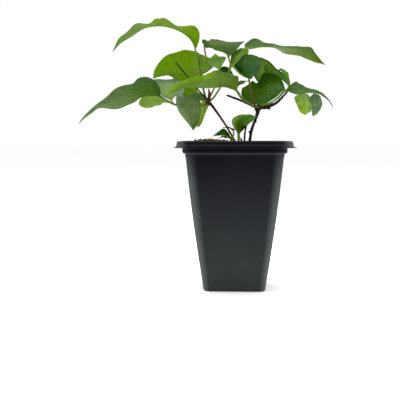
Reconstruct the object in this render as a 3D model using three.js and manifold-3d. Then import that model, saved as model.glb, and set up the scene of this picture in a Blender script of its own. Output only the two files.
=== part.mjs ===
// A young clematis in a square black nursery pot.
// Millimetres, +Z up. The pot stands on z = 0, centred on the Z axis, with its front towards -Y.

import * as THREE from 'three';
import { mergeVertices } from 'three/addons/utils/BufferGeometryUtils.js';
import Module from 'manifold-3d';

const wasm = await Module();
wasm.setup();

// ---------------------------------------------------------------- driving dimensions

const CLEARANCE = 0.3; // air between neighbouring pieces
const BLADE = 0.7; // thickness of a leaf blade
const GRAIN = 0.005; // the finest step between two corners of a piece

const POT = {
  height: 114,
  wall: 1.3,
  floor: 1.6,
  footHalf: 23.2, // half the width at the foot
  shoulderHalf: 36.1, // half the width under the collar
  collarHalf: 38.6,
  rimHalf: 45.2,
  shoulderAt: 104.8, // height of the ledge under the collar
  rimAt: 110.4, // height of the rim's lower edge
  corner: 8,
  drain: 4, // radius of a drain hole
};

const SOIL = { level: 110.4, lump: 0.7, mound: 5.6, moundAt: [-20, 3], moundWidth: 13 };

// ---------------------------------------------------------------- solids

const v3 = (p) => new THREE.Vector3(p[0], p[1], p[2]);

function geometryOf(points, triangles) {
  const geometry = new THREE.BufferGeometry();
  geometry.setAttribute('position', new THREE.Float32BufferAttribute(points.flatMap((p) => [p.x, p.y, p.z]), 3));
  geometry.setIndex(triangles.flat());
  return geometry;
}

function solidOf(geometry) {
  const bare = geometry.clone();
  bare.deleteAttribute('normal');
  bare.deleteAttribute('uv');
  const merged = mergeVertices(bare, 1e-4);
  const mesh = new wasm.Mesh({
    numProp: 3,
    vertProperties: Float32Array.from(merged.attributes.position.array),
    triVerts: Uint32Array.from(merged.index.array),
  });
  return new wasm.Manifold(mesh);
}

function geometryFrom(solid) {
  const mesh = solid.getMesh();
  const geometry = new THREE.BufferGeometry();
  geometry.setAttribute('position', new THREE.BufferAttribute(Float32Array.from(mesh.vertProperties), 3));
  geometry.setIndex(new THREE.BufferAttribute(Uint32Array.from(mesh.triVerts), 1));
  geometry.computeVertexNormals();
  return geometry;
}

// The solid with its corners settled on a fine grid, which closes up edges shorter than the grid.
function settled(solid) {
  const geometry = geometryFrom(solid);
  const { array } = geometry.attributes.position;
  for (let k = 0; k < array.length; k += 1) array[k] = Math.round(array[k] / GRAIN) * GRAIN;
  geometry.deleteAttribute('normal');
  const merged = mergeVertices(geometry, GRAIN / 2);
  const kept = [];
  const { array: index } = merged.index;
  for (let k = 0; k < index.length; k += 3) {
    const [a, b, c] = [index[k], index[k + 1], index[k + 2]];
    if (a !== b && b !== c && c !== a) kept.push(a, b, c);
  }
  merged.setIndex(kept);
  return solidOf(merged);
}

const fuse = (solids) => solids.reduce((whole, solid) => whole.add(solid));

// The largest body of a solid, without the crumbs that a cut leaves.
function mainBody(solid) {
  return solid.decompose().reduce((best, piece) => (piece.volume() > best.volume() ? piece : best));
}

// A closed skin over rings of equal length; `start` and `end` are the points that close it.
function skin(rings, start, end) {
  const count = rings[0].length;
  const points = [start, ...rings.flat(), end];
  const last = points.length - 1;
  const at = (ring, k) => 1 + ring * count + (k % count);
  const triangles = [];
  for (let k = 0; k < count; k += 1) {
    triangles.push([0, at(0, k + 1), at(0, k)]);
    triangles.push([last, at(rings.length - 1, k), at(rings.length - 1, k + 1)]);
  }
  for (let ring = 0; ring < rings.length - 1; ring += 1) {
    for (let k = 0; k < count; k += 1) {
      triangles.push([at(ring, k), at(ring, k + 1), at(ring + 1, k + 1)]);
      triangles.push([at(ring, k), at(ring + 1, k + 1), at(ring + 1, k)]);
    }
  }
  return solidOf(geometryOf(points, triangles));
}

// ---------------------------------------------------------------- stems and stalks

// A round limb along a smooth curve through `route`. `radii` run from its start to its end,
// `extra` widens it and `rough` raises knobs along the bark.
function limb(route, radii, { sides = 6, steps = 3, extra = 0, rough = 0 } = {}) {
  const curve = new THREE.CatmullRomCurve3(route.map(v3), false, 'centripetal');
  const count = (route.length - 1) * steps;
  const radiusAt = (t) => {
    const place = t * (radii.length - 1);
    const low = Math.min(Math.floor(place), radii.length - 2);
    return THREE.MathUtils.lerp(radii[low], radii[low + 1], place - low);
  };
  const side = new THREE.Vector3(0, 1, 0);
  const rings = [];
  for (let step = 0; step <= count; step += 1) {
    const t = step / count;
    const centre = curve.getPoint(t);
    const along = curve.getTangent(t);
    side.addScaledVector(along, -side.dot(along)).normalize();
    const across = new THREE.Vector3().crossVectors(along, side);
    const ring = [];
    for (let k = 0; k < sides; k += 1) {
      const angle = (2 * Math.PI * k) / sides;
      const knob = 1 + rough * Math.sin(5.1 * step + 2.3 * k) * Math.sin(1.7 * step);
      const radius = radiusAt(t) * knob + extra;
      ring.push(
        centre
          .clone()
          .addScaledVector(side, radius * Math.cos(angle))
          .addScaledVector(across, radius * Math.sin(angle)),
      );
    }
    rings.push(ring);
  }
  return skin(rings, curve.getPoint(0), curve.getPoint(1));
}

// ---------------------------------------------------------------- leaf blades

// A blade hangs on its midrib: `rib` holds four points that it passes through, from base to tip.
// `faces` says where its upper side looks, from base to tip. `half` is half its width, `fold` lifts
// its halves to a V in degrees, `belly` is the widest place, `base` the width at the foot as a share
// of that, `point` how drawn out the tip is, `lobe` how far the foot reaches back beside the stalk.
// `wave`, `waves` and `phase` ripple the edge. `left` and `right` widen or narrow each side, evenly
// spaced from base to tip. `rows` and `columns` are the facets along and across.
const USUAL = {
  half: 10,
  faces: [[0, 0, 1]],
  fold: 8,
  belly: 0.28,
  base: 0.5,
  point: 1.4,
  lobe: 4,
  wave: 1,
  waves: 2,
  phase: 0,
  left: [1, 1],
  right: [1, 1],
  rows: 6,
  columns: 4,
};

const BLADES = {
  // upper left
  arching: {
    rib: [[-31, 3, 188], [-42, -2, 199.5], [-65.5, -10, 202], [-93, -16, 182.5]],
    half: 10, faces: [[0.1, 0.1, 1]], fold: 52, belly: 0.22, point: 0.6, wave: 0.5,
    left: [0.9, 1.35, 1.38, 0.77, 0.56, 1.13, 0.53, 1.3, 1.65, 1.5],
    right: [1.2, 1.3, 1.1, 0.8, 0.8, 0.95, 0.7, 1, 1.2, 1.2], rows: 11,
  },
  disc: {
    rib: [[-27, 8, 166.5], [-39, 14, 168.5], [-53.5, 22, 170.5], [-67, 30, 165.5]],
    half: 19, faces: [[0, 0.75, 0.6]], fold: 35, base: 0.85, lobe: 8, wave: 1.5,
    left: [1, 1, 1, 1.1, 1.3, 1.3], rows: 8, columns: 6,
  },
  top_left: {
    rib: [[-24, 16, 190], [-17, 22, 192], [-9, 30, 193.5], [-1.5, 38, 195]],
    half: 10, faces: [[0, -0.4, 0.9]], fold: 5,
  },
  // centre
  top_middle: {
    rib: [[-5, -8, 180], [-2.5, 4, 186.5], [2.5, 14, 191], [7.5, 22, 194.5]],
    half: 12, faces: [[-0.2, -0.35, 0.9]], fold: 10,
  },
  top_right: {
    rib: [[8, -4, 187], [25.5, -12, 188.5], [47, -22, 182], [66, -30, 171]],
    half: 8.5, faces: [[0, -0.7, 1], [0, -0.3, 1], [0.2, -0.9, 0.8], [0.3, -1, 0.5]], fold: 5, point: 0.5,
    base: 0.8, wave: 0.6, left: [1, 1.1, 0.75, 0.5, 0.55, 0.95, 1], rows: 9,
  },
  bright_back: {
    rib: [[-2.5, -2, 172.5], [2.5, 4, 176.5], [9.5, 10, 177.5], [17, 14, 174]],
    half: 10.5, faces: [[0, 0.95, 0.3]], fold: 5,
  },
  // beside the left stem
  funnel: {
    rib: [[-12.5, -2, 172], [-15, -11, 175], [-17, -18, 178], [-19.5, -23, 180]],
    half: 7.5, faces: [[0, 0.5, 0.8]], fold: 25,
  },
  tucked_round: {
    rib: [[-12, 2, 163.5], [-8.5, 8, 168.5], [-5, 12, 169.5], [-1, 16, 166]],
    half: 5, faces: [[0, -0.5, 0.8]], wave: 0.5, columns: 2,
  },
  // lower left
  low: {
    rib: [[-56.5, -22, 149], [-72.5, -32, 151.5], [-94.5, -43, 143], [-112.5, -52, 127.5]],
    half: 14, faces: [[-0.1, -0.6, 0.8]], belly: 0.3, base: 0.8, point: 1, wave: 1,
    right: [1.4, 1.4, 1.3, 1.15, 0.8, 0.65, 0.45, 0.4, 0.42, 0.4],
    left: [1, 1, 1.05, 1.15, 1.6, 1.7, 0.85, 0.45, 0.42, 0.4], rows: 10,
  },
  low_under: {
    rib: [[-53.5, -14, 145], [-61.5, -8, 145.5], [-68.5, -4, 144.5], [-74.5, -2, 143]],
    half: 7, faces: [[0.1, 0.7, 0.6]], fold: 10, wave: 0.5, lobe: 1, point: 0.8,
  },
  pale: {
    rib: [[-50, -12, 147.5], [-52, -6, 153], [-53, 2, 159], [-54, 12, 162.5]],
    half: 13, faces: [[0.2, 1, 0.2], [0, 0.7, 1]], belly: 0.4, point: 0.5,
    right: [1, 1.3, 1.5],
  },
  hanging: {
    rib: [[-36, -8, 145.5], [-35.5, -11, 139], [-33.5, -14, 131.5], [-32.5, -15, 122.5]],
    half: 10, faces: [[0, -0.95, 0.2]], wave: 0.7, belly: 0.1, base: 0.8, lobe: 2, point: 1.25,
  },
  hanging_back: {
    rib: [[-23, 4, 144], [-24.5, 6, 138], [-26.5, 8, 131.5], [-29, 10, 125]],
    half: 4.5, faces: [[-0.5, 0.85, 0.1]], fold: 5, wave: 0.5, belly: 0.2, point: 0.9, lobe: 2,
  },
  young_pale: {
    rib: [[-37.5, -15, 148], [-40, -18, 150.5], [-42.5, -19, 152.5], [-44.5, -20, 155]],
    half: 5, faces: [[0, -0.8, 0.5]], wave: 0.5, lobe: 2, columns: 2,
  },
  young_round: {
    rib: [[-36.5, -14, 145], [-39.5, -18, 145], [-41.5, -20, 145], [-44, -22, 144.5]],
    half: 3.5, faces: [[0, -0.8, 0.5]], wave: 0.5, lobe: 2, columns: 2,
  },
  young_bright: {
    rib: [[-25, -2, 148.5], [-29.5, -6, 154], [-34, -10, 154], [-38, -13, 148.5]],
    half: 5, faces: [[0, 0.6, 0.8]], wave: 0.5, lobe: 2, columns: 2,
  },
  young_dark: {
    rib: [[-24, 0, 145.5], [-28, -3, 148], [-31.5, -6, 149], [-34.5, -8, 148]],
    half: 3.5, faces: [[0, -0.8, 0.5]], wave: 0.5, lobe: 2, columns: 2,
  },
  // front
  front: {
    rib: [[2, -14, 159.5], [-16, -22, 160.5], [-33.5, -30, 157.5], [-50.5, -36, 147.5]],
    half: 12, faces: [[0, -0.5, 0.9], [-0.2, -0.8, 0.6]], fold: 5, belly: 0.25, point: 1, wave: 0.8,
    right: [0.9, 1.2, 1.3, 0.95, 0.65, 0.68, 0.75, 0.85, 1.3, 1.3],
    left: [0.9, 1, 0.9, 0.83, 0.84, 0.72, 0.55, 0.55, 0.9, 1], rows: 10,
  },
  tucked_thin: {
    rib: [[2.5, -8, 157.5], [4.5, -2, 160.5], [7, 4, 162], [9.5, 10, 163]],
    half: 3.5, faces: [[0, -0.25, 1]], wave: 0.5, lobe: 2, columns: 2,
  },
  // right
  drooping: {
    rib: [[9, -26, 177.5], [9, -34, 172], [10.5, -37, 165.5], [11.5, -36, 160.5]],
    half: 7.5, faces: [[0, -0.9, 0.5]], fold: 10,
  },
  over: {
    rib: [[40.5, -6, 156.5], [34, -2, 163.5], [22, 0, 174], [18.5, -6, 159]],
    half: 6.5, faces: [[0.6, 0.5, 0.5], [-0.7, 0.6, 0.3]], fold: 10, rows: 9,
  },
  over_small: {
    rib: [[42.5, 6, 158.5], [42, 10, 165], [39, 12, 169.5], [33.5, 14, 171.5]],
    half: 5, faces: [[0.5, -0.5, 0.6]], wave: 0.5, columns: 2,
  },
  broad: {
    rib: [[38, -11, 154], [27.5, -13, 155], [16, -14, 151.5], [5, -10, 156]],
    half: 12.5, faces: [[0.1, -0.95, 0.15]], belly: 0.35, point: 0.8, wave: 1.5, rows: 8, columns: 6,
  },
  drip_tip: {
    rib: [[40.5, -8, 154], [52, -14, 153.5], [63.5, -20, 149], [73, -22, 140.5]],
    half: 9, faces: [[0.1, -0.7, 0.8]], fold: 5, belly: 0.12, point: 3, lobe: 3, right: [0.6, 0.5, 0.5, 0.4, 0.4],
    rows: 9,
  },
  hanging_bright: {
    rib: [[53, 0, 152], [53, 3, 146.5], [54, 5, 140.5], [55.5, 4, 135]],
    half: 8, faces: [[0, 1, 0.2]], point: 0.7,
  },
  hanging_dark: {
    rib: [[60.5, -10, 151.5], [63, -12, 146], [62, -12, 140], [59.5, -10, 134]],
    half: 5.5, faces: [[0.3, -0.9, 0.2]], fold: 15, wave: 0.5, point: 0.8,
  },
  // young shoots
  spoon: {
    rib: [[3.5, -12, 122.5], [1.5, -17, 127.5], [5, -18, 132], [16, -12, 133]],
    half: 5.2, faces: [[0.2, -0.95, 0.2]], fold: 15, wave: 0.5, lobe: 1,
  },
  shoot_tip: {
    rib: [[-4.5, -8, 119.5], [-8.5, -12, 121.5], [-12, -15, 121], [-16.5, -18, 118.5]],
    half: 3.5, faces: [[0, -0.6, 0.8]], wave: 0.5, lobe: 1, columns: 2,
  },
  shoot_side: {
    rib: [[-1, -6, 123.5], [-3.5, -8, 125], [-6, -10, 125.5], [-9.5, -12, 125]],
    half: 3, faces: [[0, -0.3, 1]], wave: 0.3, lobe: 1, columns: 2,
  },
};

// Points of a cubic that passes through four points at 0, 1/3, 2/3 and 1.
function ribCurve(rib) {
  const [a, b, c, d] = rib.map(v3);
  const mix = (...weights) =>
    [a, b, c, d].reduce((sum, p, k) => sum.addScaledVector(p, weights[k] / 6), new THREE.Vector3());
  return new THREE.CubicBezierCurve3(a, mix(-5, 18, -9, 2), mix(2, -9, 18, -5), d);
}

// A smooth value through evenly spaced ones.
function through(values, t) {
  const place = Math.min(Math.max(t, 0), 1) * (values.length - 1);
  const low = Math.min(Math.floor(place), values.length - 2);
  return THREE.MathUtils.lerp(values[low], values[low + 1], THREE.MathUtils.smoothstep(place - low, 0, 1));
}

// Half width of a blade at u (0 base, 1 tip), as a share of its widest.
function outline(leaf, u) {
  if (u < leaf.belly) return leaf.base + (1 - leaf.base) * Math.sin((Math.PI / 2) * (u / leaf.belly));
  const rest = Math.cos((Math.PI / 2) * ((u - leaf.belly) / (1 - leaf.belly)));
  return Math.max(rest, 0) ** leaf.point;
}

// A function giving the blade's middle surface at u along it and v (-1..1) across it.
function surfaceOf(given) {
  const leaf = { ...USUAL, ...given };
  const curve = ribCurve(leaf.rib);
  const length = curve.getLength();
  const faces = leaf.faces.length > 1 ? leaf.faces : [leaf.faces[0], leaf.faces[0]];
  return (u, v) => {
    const out = Math.abs(v);
    const back = leaf.lobe * Math.sin(Math.PI * Math.min(out, 1)) * Math.max(0, 1 - u / 0.4) ** 2;
    const along = u - back / length;
    const t = Math.max(along, 0);
    const tangent = derivative(curve, t).normalize();
    const looks = v3([0, 1, 2].map((axis) => through(faces.map((face) => face[axis]), t)));
    const across = new THREE.Vector3().crossVectors(tangent, looks).normalize();
    const normal = new THREE.Vector3().crossVectors(across, tangent);
    const wider = through(v > 0 ? leaf.right : leaf.left, u);
    const reach = v * leaf.half * outline(leaf, u) * wider;
    const lift = (leaf.fold * Math.PI) / 180;
    const ripple = Math.sin(2 * Math.PI * (leaf.waves * u + leaf.phase) + (v > 0 ? 1.3 : 0));
    const calm = Math.sqrt(Math.max(0, Math.sin(Math.PI * Math.min(1, u + 0.08))));
    const rise = (Math.hypot(reach, 1) - 1) * Math.sin(lift) + leaf.wave * out ** 1.5 * ripple * calm;
    return curve
      .getPoint(t)
      .addScaledVector(tangent, Math.min(along, 0) * length)
      .addScaledVector(across, reach * Math.cos(lift))
      .addScaledVector(normal, rise);
  };
}

// The cubic's derivative at t; a curve's own tangent is unsteady at its ends.
function derivative(curve, t) {
  const { v0, v1, v2, v3: end } = curve;
  const s = 1 - t;
  return v1
    .clone()
    .sub(v0)
    .multiplyScalar(3 * s * s)
    .addScaledVector(v2.clone().sub(v1), 6 * s * t)
    .addScaledVector(end.clone().sub(v2), 3 * t * t);
}

// Where a blade is split along its length: evenly, with one more line close to the foot.
const stations = (rows) => [0, 0.4, ...Array.from({ length: rows - 1 }, (_, k) => k + 1)].map((k) => k / (rows - 1));

// A blade as a thin closed sheet, split alike on both faces.
function blade(name) {
  const leaf = { ...USUAL, ...BLADES[name] };
  const surface = surfaceOf(leaf);
  const columns = leaf.columns;
  const step = 0.01;
  const lines = stations(leaf.rows);
  const normalAt = (u, v) => {
    const alongU = surface(u + step, v).sub(surface(u, v));
    const alongV = surface(u, Math.min(v + step, 1)).sub(surface(u, Math.max(v - step, -1)));
    return new THREE.Vector3().crossVectors(alongV, alongU).normalize();
  };
  const sheet = lines.map((u) => {
    const inner = Math.min(u, 1 - 4 * step);
    const onRib = normalAt(inner, 0);
    return Array.from({ length: columns + 1 }, (_, j) => {
      const v = -1 + (2 * j) / columns;
      const normal = normalAt(inner, v);
      // the lobes' edge runs back so steeply that its own normal can come out upside down
      if (normal.dot(onRib) < 0.3) normal.copy(onRib);
      return { point: surface(u, v), normal };
    });
  });
  const tip = sheet[sheet.length - 1];
  const tipNormal = tip.reduce((sum, p) => sum.add(p.normal), new THREE.Vector3()).normalize();
  tip.forEach((p) => p.normal.copy(tipNormal));
  const points = [];
  for (const side of [0.5, -0.5]) {
    for (const row of sheet) {
      for (const { point, normal } of row) points.push(point.clone().addScaledVector(normal, side * BLADE));
    }
  }
  const half = points.length / 2;
  const at = (i, j) => i * (columns + 1) + j;
  const triangles = [];
  for (let i = 0; i < lines.length - 1; i += 1) {
    for (let j = 0; j < columns; j += 1) {
      const quad = [at(i, j), at(i, j + 1), at(i + 1, j + 1), at(i + 1, j)];
      const faces = [[quad[0], quad[1], quad[2]], [quad[0], quad[2], quad[3]]];
      for (const [a, b, c] of faces) {
        triangles.push([a, b, c]);
        triangles.push([a + half, c + half, b + half]);
      }
    }
  }
  const rim = [];
  const rows = lines.length - 1;
  for (let j = columns; j > 0; j -= 1) rim.push([at(0, j), at(0, j - 1)]);
  for (let i = 0; i < rows; i += 1) rim.push([at(i, 0), at(i + 1, 0)]);
  for (let j = 0; j < columns; j += 1) rim.push([at(rows, j), at(rows, j + 1)]);
  for (let i = rows; i > 0; i -= 1) rim.push([at(i, columns), at(i - 1, columns)]);
  for (const [a, b] of rim) {
    triangles.push([a, b, b + half]);
    triangles.push([a, b + half, a + half]);
  }
  return solidOf(geometryOf(points, triangles));
}

// A stalk that ends in a blade runs on along its midrib and thins out there.
function stalk({ route, radii, to }) {
  const curve = ribCurve(BLADES[to].rib);
  const run = [0.02, 0.14].map((t) => curve.getPoint(t).toArray());
  return limb([...route, ...run], [...radii, radii[radii.length - 1] * 0.9, 0.45], { sides: 5, steps: 2 });
}

// A leaf: its stalks and blades, cut clear of the stem that carries it.
function leafSpray({ stalks }, stem) {
  const pieces = [];
  for (const piece of stalks) {
    pieces.push(stalk(piece));
    if (piece.to) pieces.push(blade(piece.to));
  }
  return mainBody(fuse(pieces).subtract(stem));
}

// ---------------------------------------------------------------- the plant

const STEMS = {
  stem_left: [
    { route: [[2.5, 0, 103], [-0.5, 0, 113.5], [-11, 0, 129], [-19.5, 0, 141.5], [-21.5, 0, 145.5]],
      radii: [1.15, 1.15, 1.1, 1.15, 1.5], rough: 0.03 },
    { route: [[-20.2, 0, 142], [-21.5, 0, 145.5], [-22.5, 0, 148.5]], radii: [1.2, 2, 1.1], rough: 0.05 },
    { route: [[-21.5, 0, 145.5], [-33.5, -2, 159], [-46.5, -4, 176.5]], radii: [0.9, 0.75, 0.6] },
    { route: [[-21.2, -0.4, 146], [-20.6, -0.8, 149.5], [-21, -0.6, 153.5]], radii: [1.4, 1.25, 0.4] },
  ],
  stem_right: [
    { route: [[8, 0, 102], [11, 0, 113.5], [14, 0, 125.5], [16.5, 0, 134.5], [18.2, 0, 141]],
      radii: [1.4, 1.4, 1.35, 1.5, 1.9], rough: 0.12 },
    { route: [[17, 0, 138.5], [19, 0, 141.5], [25, -0.5, 143], [27, -0.5, 143]], radii: [1.6, 2.4, 2.1, 1.2],
      rough: 0.15 },
    { route: [[24, 0, 142.5], [31, 0.5, 145.5], [37, 1, 150], [42.5, 1.5, 155]], radii: [1.4, 1, 0.8, 0.6],
      rough: 0.08 },
    { route: [[18, 0, 140], [6, -2, 145.5], [-6, -4, 150]], radii: [0.9, 0.75, 0.65], rough: 0.05 },
  ],
  stem_thin: [
    { route: [[7.5, 4, 102], [7.5, 4, 113.5], [8, 4, 121.5], [9.5, 4, 130]], radii: [0.9, 0.9, 0.85, 0.8],
      rough: 0.06 },
    { route: [[7.5, 4, 112], [5.4, 2.6, 114.5], [4.8, 2.4, 117]], radii: [0.7, 0.6, 0.5] },
  ],
};

const SHOOTS = {
  shoot_spoon: [
    { route: [[-0.5, -14, 103], [0.5, -14, 114], [1, -14, 118.5]], radii: [1.3, 1.3, 1.1], to: 'spoon' },
  ],
  shoot_young: [
    { route: [[-3.5, -6, 103], [-2, -6, 113.5], [-3.5, -7.5, 118]], radii: [1, 1, 0.7], to: 'shoot_tip' },
    { route: [[-2, -6, 113.5], [-1.5, -6, 118], [-0.8, -6, 121]], radii: [0.9, 0.7, 0.6], to: 'shoot_side' },
  ],
};

const LEAVES = {
  leaf_upper_left: {
    on: 'stem_left',
    stalks: [
      { route: [[-21.6, 0, 146.5], [-23.2, 3, 149.5], [-25, 5, 156], [-27, 8, 164], [-29.5, 6, 178]],
        radii: [0.9, 0.9, 0.9, 0.85, 0.7], to: 'arching' },
      { route: [[-26.4, 7, 161], [-26.5, 7.5, 164]], radii: [0.8, 0.8], to: 'disc' },
      { route: [[-27.3, 7.8, 166], [-24.5, 10.5, 172], [-23.5, 12, 181]], radii: [0.7, 0.6, 0.55], to: 'top_left' },
    ],
  },
  leaf_centre: {
    on: 'stem_left',
    stalks: [
      { route: [[-21.4, 0, 145], [-17.5, -1.5, 147.5], [-11, -6, 156.5], [-4.5, -5, 167], [-3, -6.5, 171.5]],
        radii: [0.9, 0.9, 0.85, 0.85, 0.8], to: 'top_middle' },
      { route: [[-3.2, -6.4, 171], [2.5, -5.5, 178.5]], radii: [0.75, 0.75], to: 'top_right' },
      { route: [[-3.6, -5.6, 169.5], [-3.2, -4, 171]], radii: [0.7, 0.7], to: 'bright_back' },
    ],
  },
  leaf_funnel: {
    on: 'stem_left',
    stalks: [
      { route: [[-21.5, 0, 147], [-19.5, 1.5, 149.5], [-16, 2, 156.5], [-13, 1, 165]],
        radii: [0.8, 0.8, 0.8, 0.7], to: 'funnel' },
      { route: [[-14.6, 1.6, 160], [-13.3, 2, 162]], radii: [0.7, 0.6], to: 'tucked_round' },
    ],
  },
  leaf_lower_left: {
    on: 'stem_left',
    stalks: [
      { route: [[-21, 0, 143.5], [-24.5, -2.5, 142.5], [-31, -9, 142], [-39.5, -16, 141.5], [-46, -18, 142.5],
        [-51.5, -20, 145.5]], radii: [0.95, 0.9, 0.85, 0.85, 0.85, 0.8], to: 'low' },
      { route: [[-46.5, -18.2, 142.8], [-49.5, -17, 144]], radii: [0.7, 0.65], to: 'low_under' },
      { route: [[-45.5, -17.8, 142.4], [-47.5, -15, 144.5]], radii: [0.7, 0.65], to: 'pale' },
      { route: [[-33, -10.5, 142], [-35, -8.5, 144.5], [-36, -7.5, 146.3]], radii: [0.7, 0.65, 0.65], to: 'hanging' },
      { route: [[-37, -14, 141.6], [-37, -15, 145]], radii: [0.65, 0.6], to: 'young_pale' },
      { route: [[-35.5, -12.5, 141.7], [-35.6, -13, 144]], radii: [0.65, 0.6], to: 'young_round' },
    ],
  },
  leaf_young: {
    on: 'stem_left',
    stalks: [
      { route: [[-21.5, 0, 146], [-23.6, -1, 147.2]], radii: [0.75, 0.7], to: 'young_bright' },
      { route: [[-22.6, -0.5, 146.6], [-23.4, -0.4, 146]], radii: [0.65, 0.6], to: 'young_dark' },
    ],
  },
  leaf_hanging: {
    on: 'stem_left',
    stalks: [{ route: [[-21.3, 0, 144.5], [-22, 3, 145.4]], radii: [0.75, 0.7], to: 'hanging_back' }],
  },
  leaf_front: {
    on: 'stem_right',
    stalks: [
      { route: [[18, 0, 140.5], [14.5, -4.5, 142.2], [10, -8, 144.5], [4, -12, 150.5], [1.6, -14, 156]],
        radii: [1.2, 1.15, 1.1, 1, 1], to: 'front' },
      { route: [[2.2, -13.4, 154], [2.4, -10.5, 156]], radii: [0.65, 0.6], to: 'tucked_thin' },
    ],
  },
  leaf_dark: {
    on: 'stem_right',
    stalks: [
      { route: [[19, 0, 141.5], [17.5, -8, 141], [14.5, -20, 143], [12.3, -22.5, 150], [10.6, -24, 160],
        [9.3, -23.2, 170], [9, -23.6, 175.2]], radii: [0.85, 0.8, 0.75, 0.7, 0.7, 0.65, 0.65], to: 'drooping' },
    ],
  },
  leaf_right: {
    on: 'stem_right',
    stalks: [
      { route: [[20.5, 0, 142], [23, -5, 144.6], [29, -7, 147.3], [35.5, -8, 151.4], [38.4, -8, 153.4]],
        radii: [0.95, 0.95, 0.9, 0.9, 0.9], to: 'drip_tip' },
      { route: [[38.8, -8, 153.6], [40.6, -7, 154.6]], radii: [0.8, 0.8], to: 'over' },
      { route: [[39.6, -8, 153.8], [42.4, 0, 154.6]], radii: [0.75, 0.7], to: 'over_small' },
      { route: [[37.6, -8, 152.8], [39, -9.5, 153.4]], radii: [0.8, 0.8], to: 'broad' },
      { route: [[47, -11.5, 154.4], [49.5, -5, 154.2]], radii: [0.7, 0.6], to: 'hanging_bright' },
      { route: [[56, -16, 153.2], [59, -13, 153.2]], radii: [0.6, 0.6], to: 'hanging_dark' },
    ],
  },
};

// ---------------------------------------------------------------- pot and soil

// Points round a square with rounded corners, anticlockwise from above.
function square(half, corner, z, arc = 4) {
  const round = Math.min(corner, half * 0.98);
  const ring = [];
  for (let quarter = 0; quarter < 4; quarter += 1) {
    const turn = (quarter * Math.PI) / 2;
    const centre = new THREE.Vector3(half - round, half - round, z).applyAxisAngle(new THREE.Vector3(0, 0, 1), turn);
    for (let k = 0; k <= arc; k += 1) {
      const angle = turn + (k / arc) * (Math.PI / 2);
      ring.push(centre.clone().add(new THREE.Vector3(Math.cos(angle), Math.sin(angle), 0).multiplyScalar(round)));
    }
  }
  return ring;
}

const wallHalf = (z) =>
  THREE.MathUtils.lerp(POT.footHalf, POT.shoulderHalf, z / POT.shoulderAt) - POT.wall;

function pot() {
  const { footHalf, shoulderHalf, collarHalf, rimHalf, shoulderAt, rimAt, height, wall, floor, corner } = POT;
  const profile = [
    [footHalf - 1.4, 0],
    [footHalf - 0.3, 0.5],
    [footHalf + 0.2, 1.8],
    [shoulderHalf, shoulderAt],
    [collarHalf - 0.9, shoulderAt + 0.4],
    [collarHalf, shoulderAt + 1.4],
    [collarHalf, rimAt - 0.9],
    [rimHalf - 0.6, rimAt - 0.4],
    [rimHalf, rimAt],
    [rimHalf - 0.8, rimAt + 1.7],
    [rimHalf - 2.1, height - 0.4],
    [rimHalf - 3.2, height],
    [rimHalf - 3.9, height - 0.5],
    [collarHalf - wall, rimAt + 0.9],
    [collarHalf - wall, shoulderAt + 2],
    [shoulderHalf - wall, shoulderAt + 0.2],
    [wallHalf(floor + 1.5), floor + 1.5],
    [wallHalf(floor + 1.5) - 1.4, floor],
  ];
  const rings = profile.map(([half, z]) => square(half, (corner * half) / shoulderHalf, z));
  let body = skin(rings, new THREE.Vector3(0, 0, 0), new THREE.Vector3(0, 0, floor));
  const reach = footHalf - 8;
  for (const [x, y] of [[1, 1], [-1, 1], [-1, -1], [1, -1]]) {
    const hole = new THREE.CylinderGeometry(POT.drain, POT.drain, 10, 12).rotateX(Math.PI / 2);
    hole.translate(x * reach, y * reach, 0);
    body = body.subtract(solidOf(hole));
  }
  return body;
}

// Height of the soil's top: low lumps all over, and a mound towards the front left.
function soilTop(x, y) {
  const { level, lump, mound, moundAt, moundWidth } = SOIL;
  const lumps = Math.sin(x * 0.47 + 1.3) * Math.cos(y * 0.41) + 0.7 * Math.sin(x * 0.9 - y * 0.73);
  const away = Math.hypot(x - moundAt[0], y - moundAt[1]) / moundWidth;
  return level + lump * lumps + mound * Math.exp(-away * away);
}

function soil(standing) {
  const lowest = POT.floor + CLEARANCE;
  const inset = (z) => wallHalf(z) - CLEARANCE;
  const roundOf = (half) => (POT.corner * half) / POT.shoulderHalf;
  const at = (half, z) => square(half, roundOf(half), z);
  const brim = POT.collarHalf - POT.wall - CLEARANCE;
  const rings = [
    at(inset(lowest + 1.5) - 1.8, lowest),
    at(inset(lowest + 2), lowest + 2),
    at(inset(POT.shoulderAt), POT.shoulderAt + 0.6),
    at(brim, POT.shoulderAt + 2.5),
  ];
  for (const share of [1, 0.9, 0.72, 0.52, 0.3]) {
    rings.push(at(brim * share, 0).map((p) => p.setZ(soilTop(p.x, p.y) - (share === 1 ? 1.4 : 0))));
  }
  const filled = skin(rings, new THREE.Vector3(0, 0, lowest), new THREE.Vector3(0, 0, soilTop(0, 0)));
  return standing.reduce((body, stem) => body.subtract(stem), filled);
}

// ---------------------------------------------------------------- materials and assembly

const FINISH = {
  pot_plastic: { color: 0x17191a, roughness: 0.38, metalness: 0 },
  soil: { color: 0x3b2a1c, roughness: 0.95, metalness: 0 },
  stem_red: { color: 0x4d2a24, roughness: 0.6, metalness: 0 },
  stem_bark: { color: 0x2a231f, roughness: 0.85, metalness: 0 },
  shoot_green: { color: 0x6d9a35, roughness: 0.5, metalness: 0 },
  leaf_bright: { color: 0x86b81f, roughness: 0.5, metalness: 0 },
  leaf_mid: { color: 0x4f8334, roughness: 0.5, metalness: 0 },
  leaf_dark: { color: 0x2c5a33, roughness: 0.5, metalness: 0 },
};

const group = new THREE.Group();
group.name = 'potted_clematis';

function place(name, solid, finish) {
  const material = new THREE.MeshStandardMaterial(FINISH[finish]);
  material.name = finish;
  const mesh = new THREE.Mesh(geometryFrom(settled(solid)), material);
  mesh.name = name;
  group.add(mesh);
}

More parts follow.
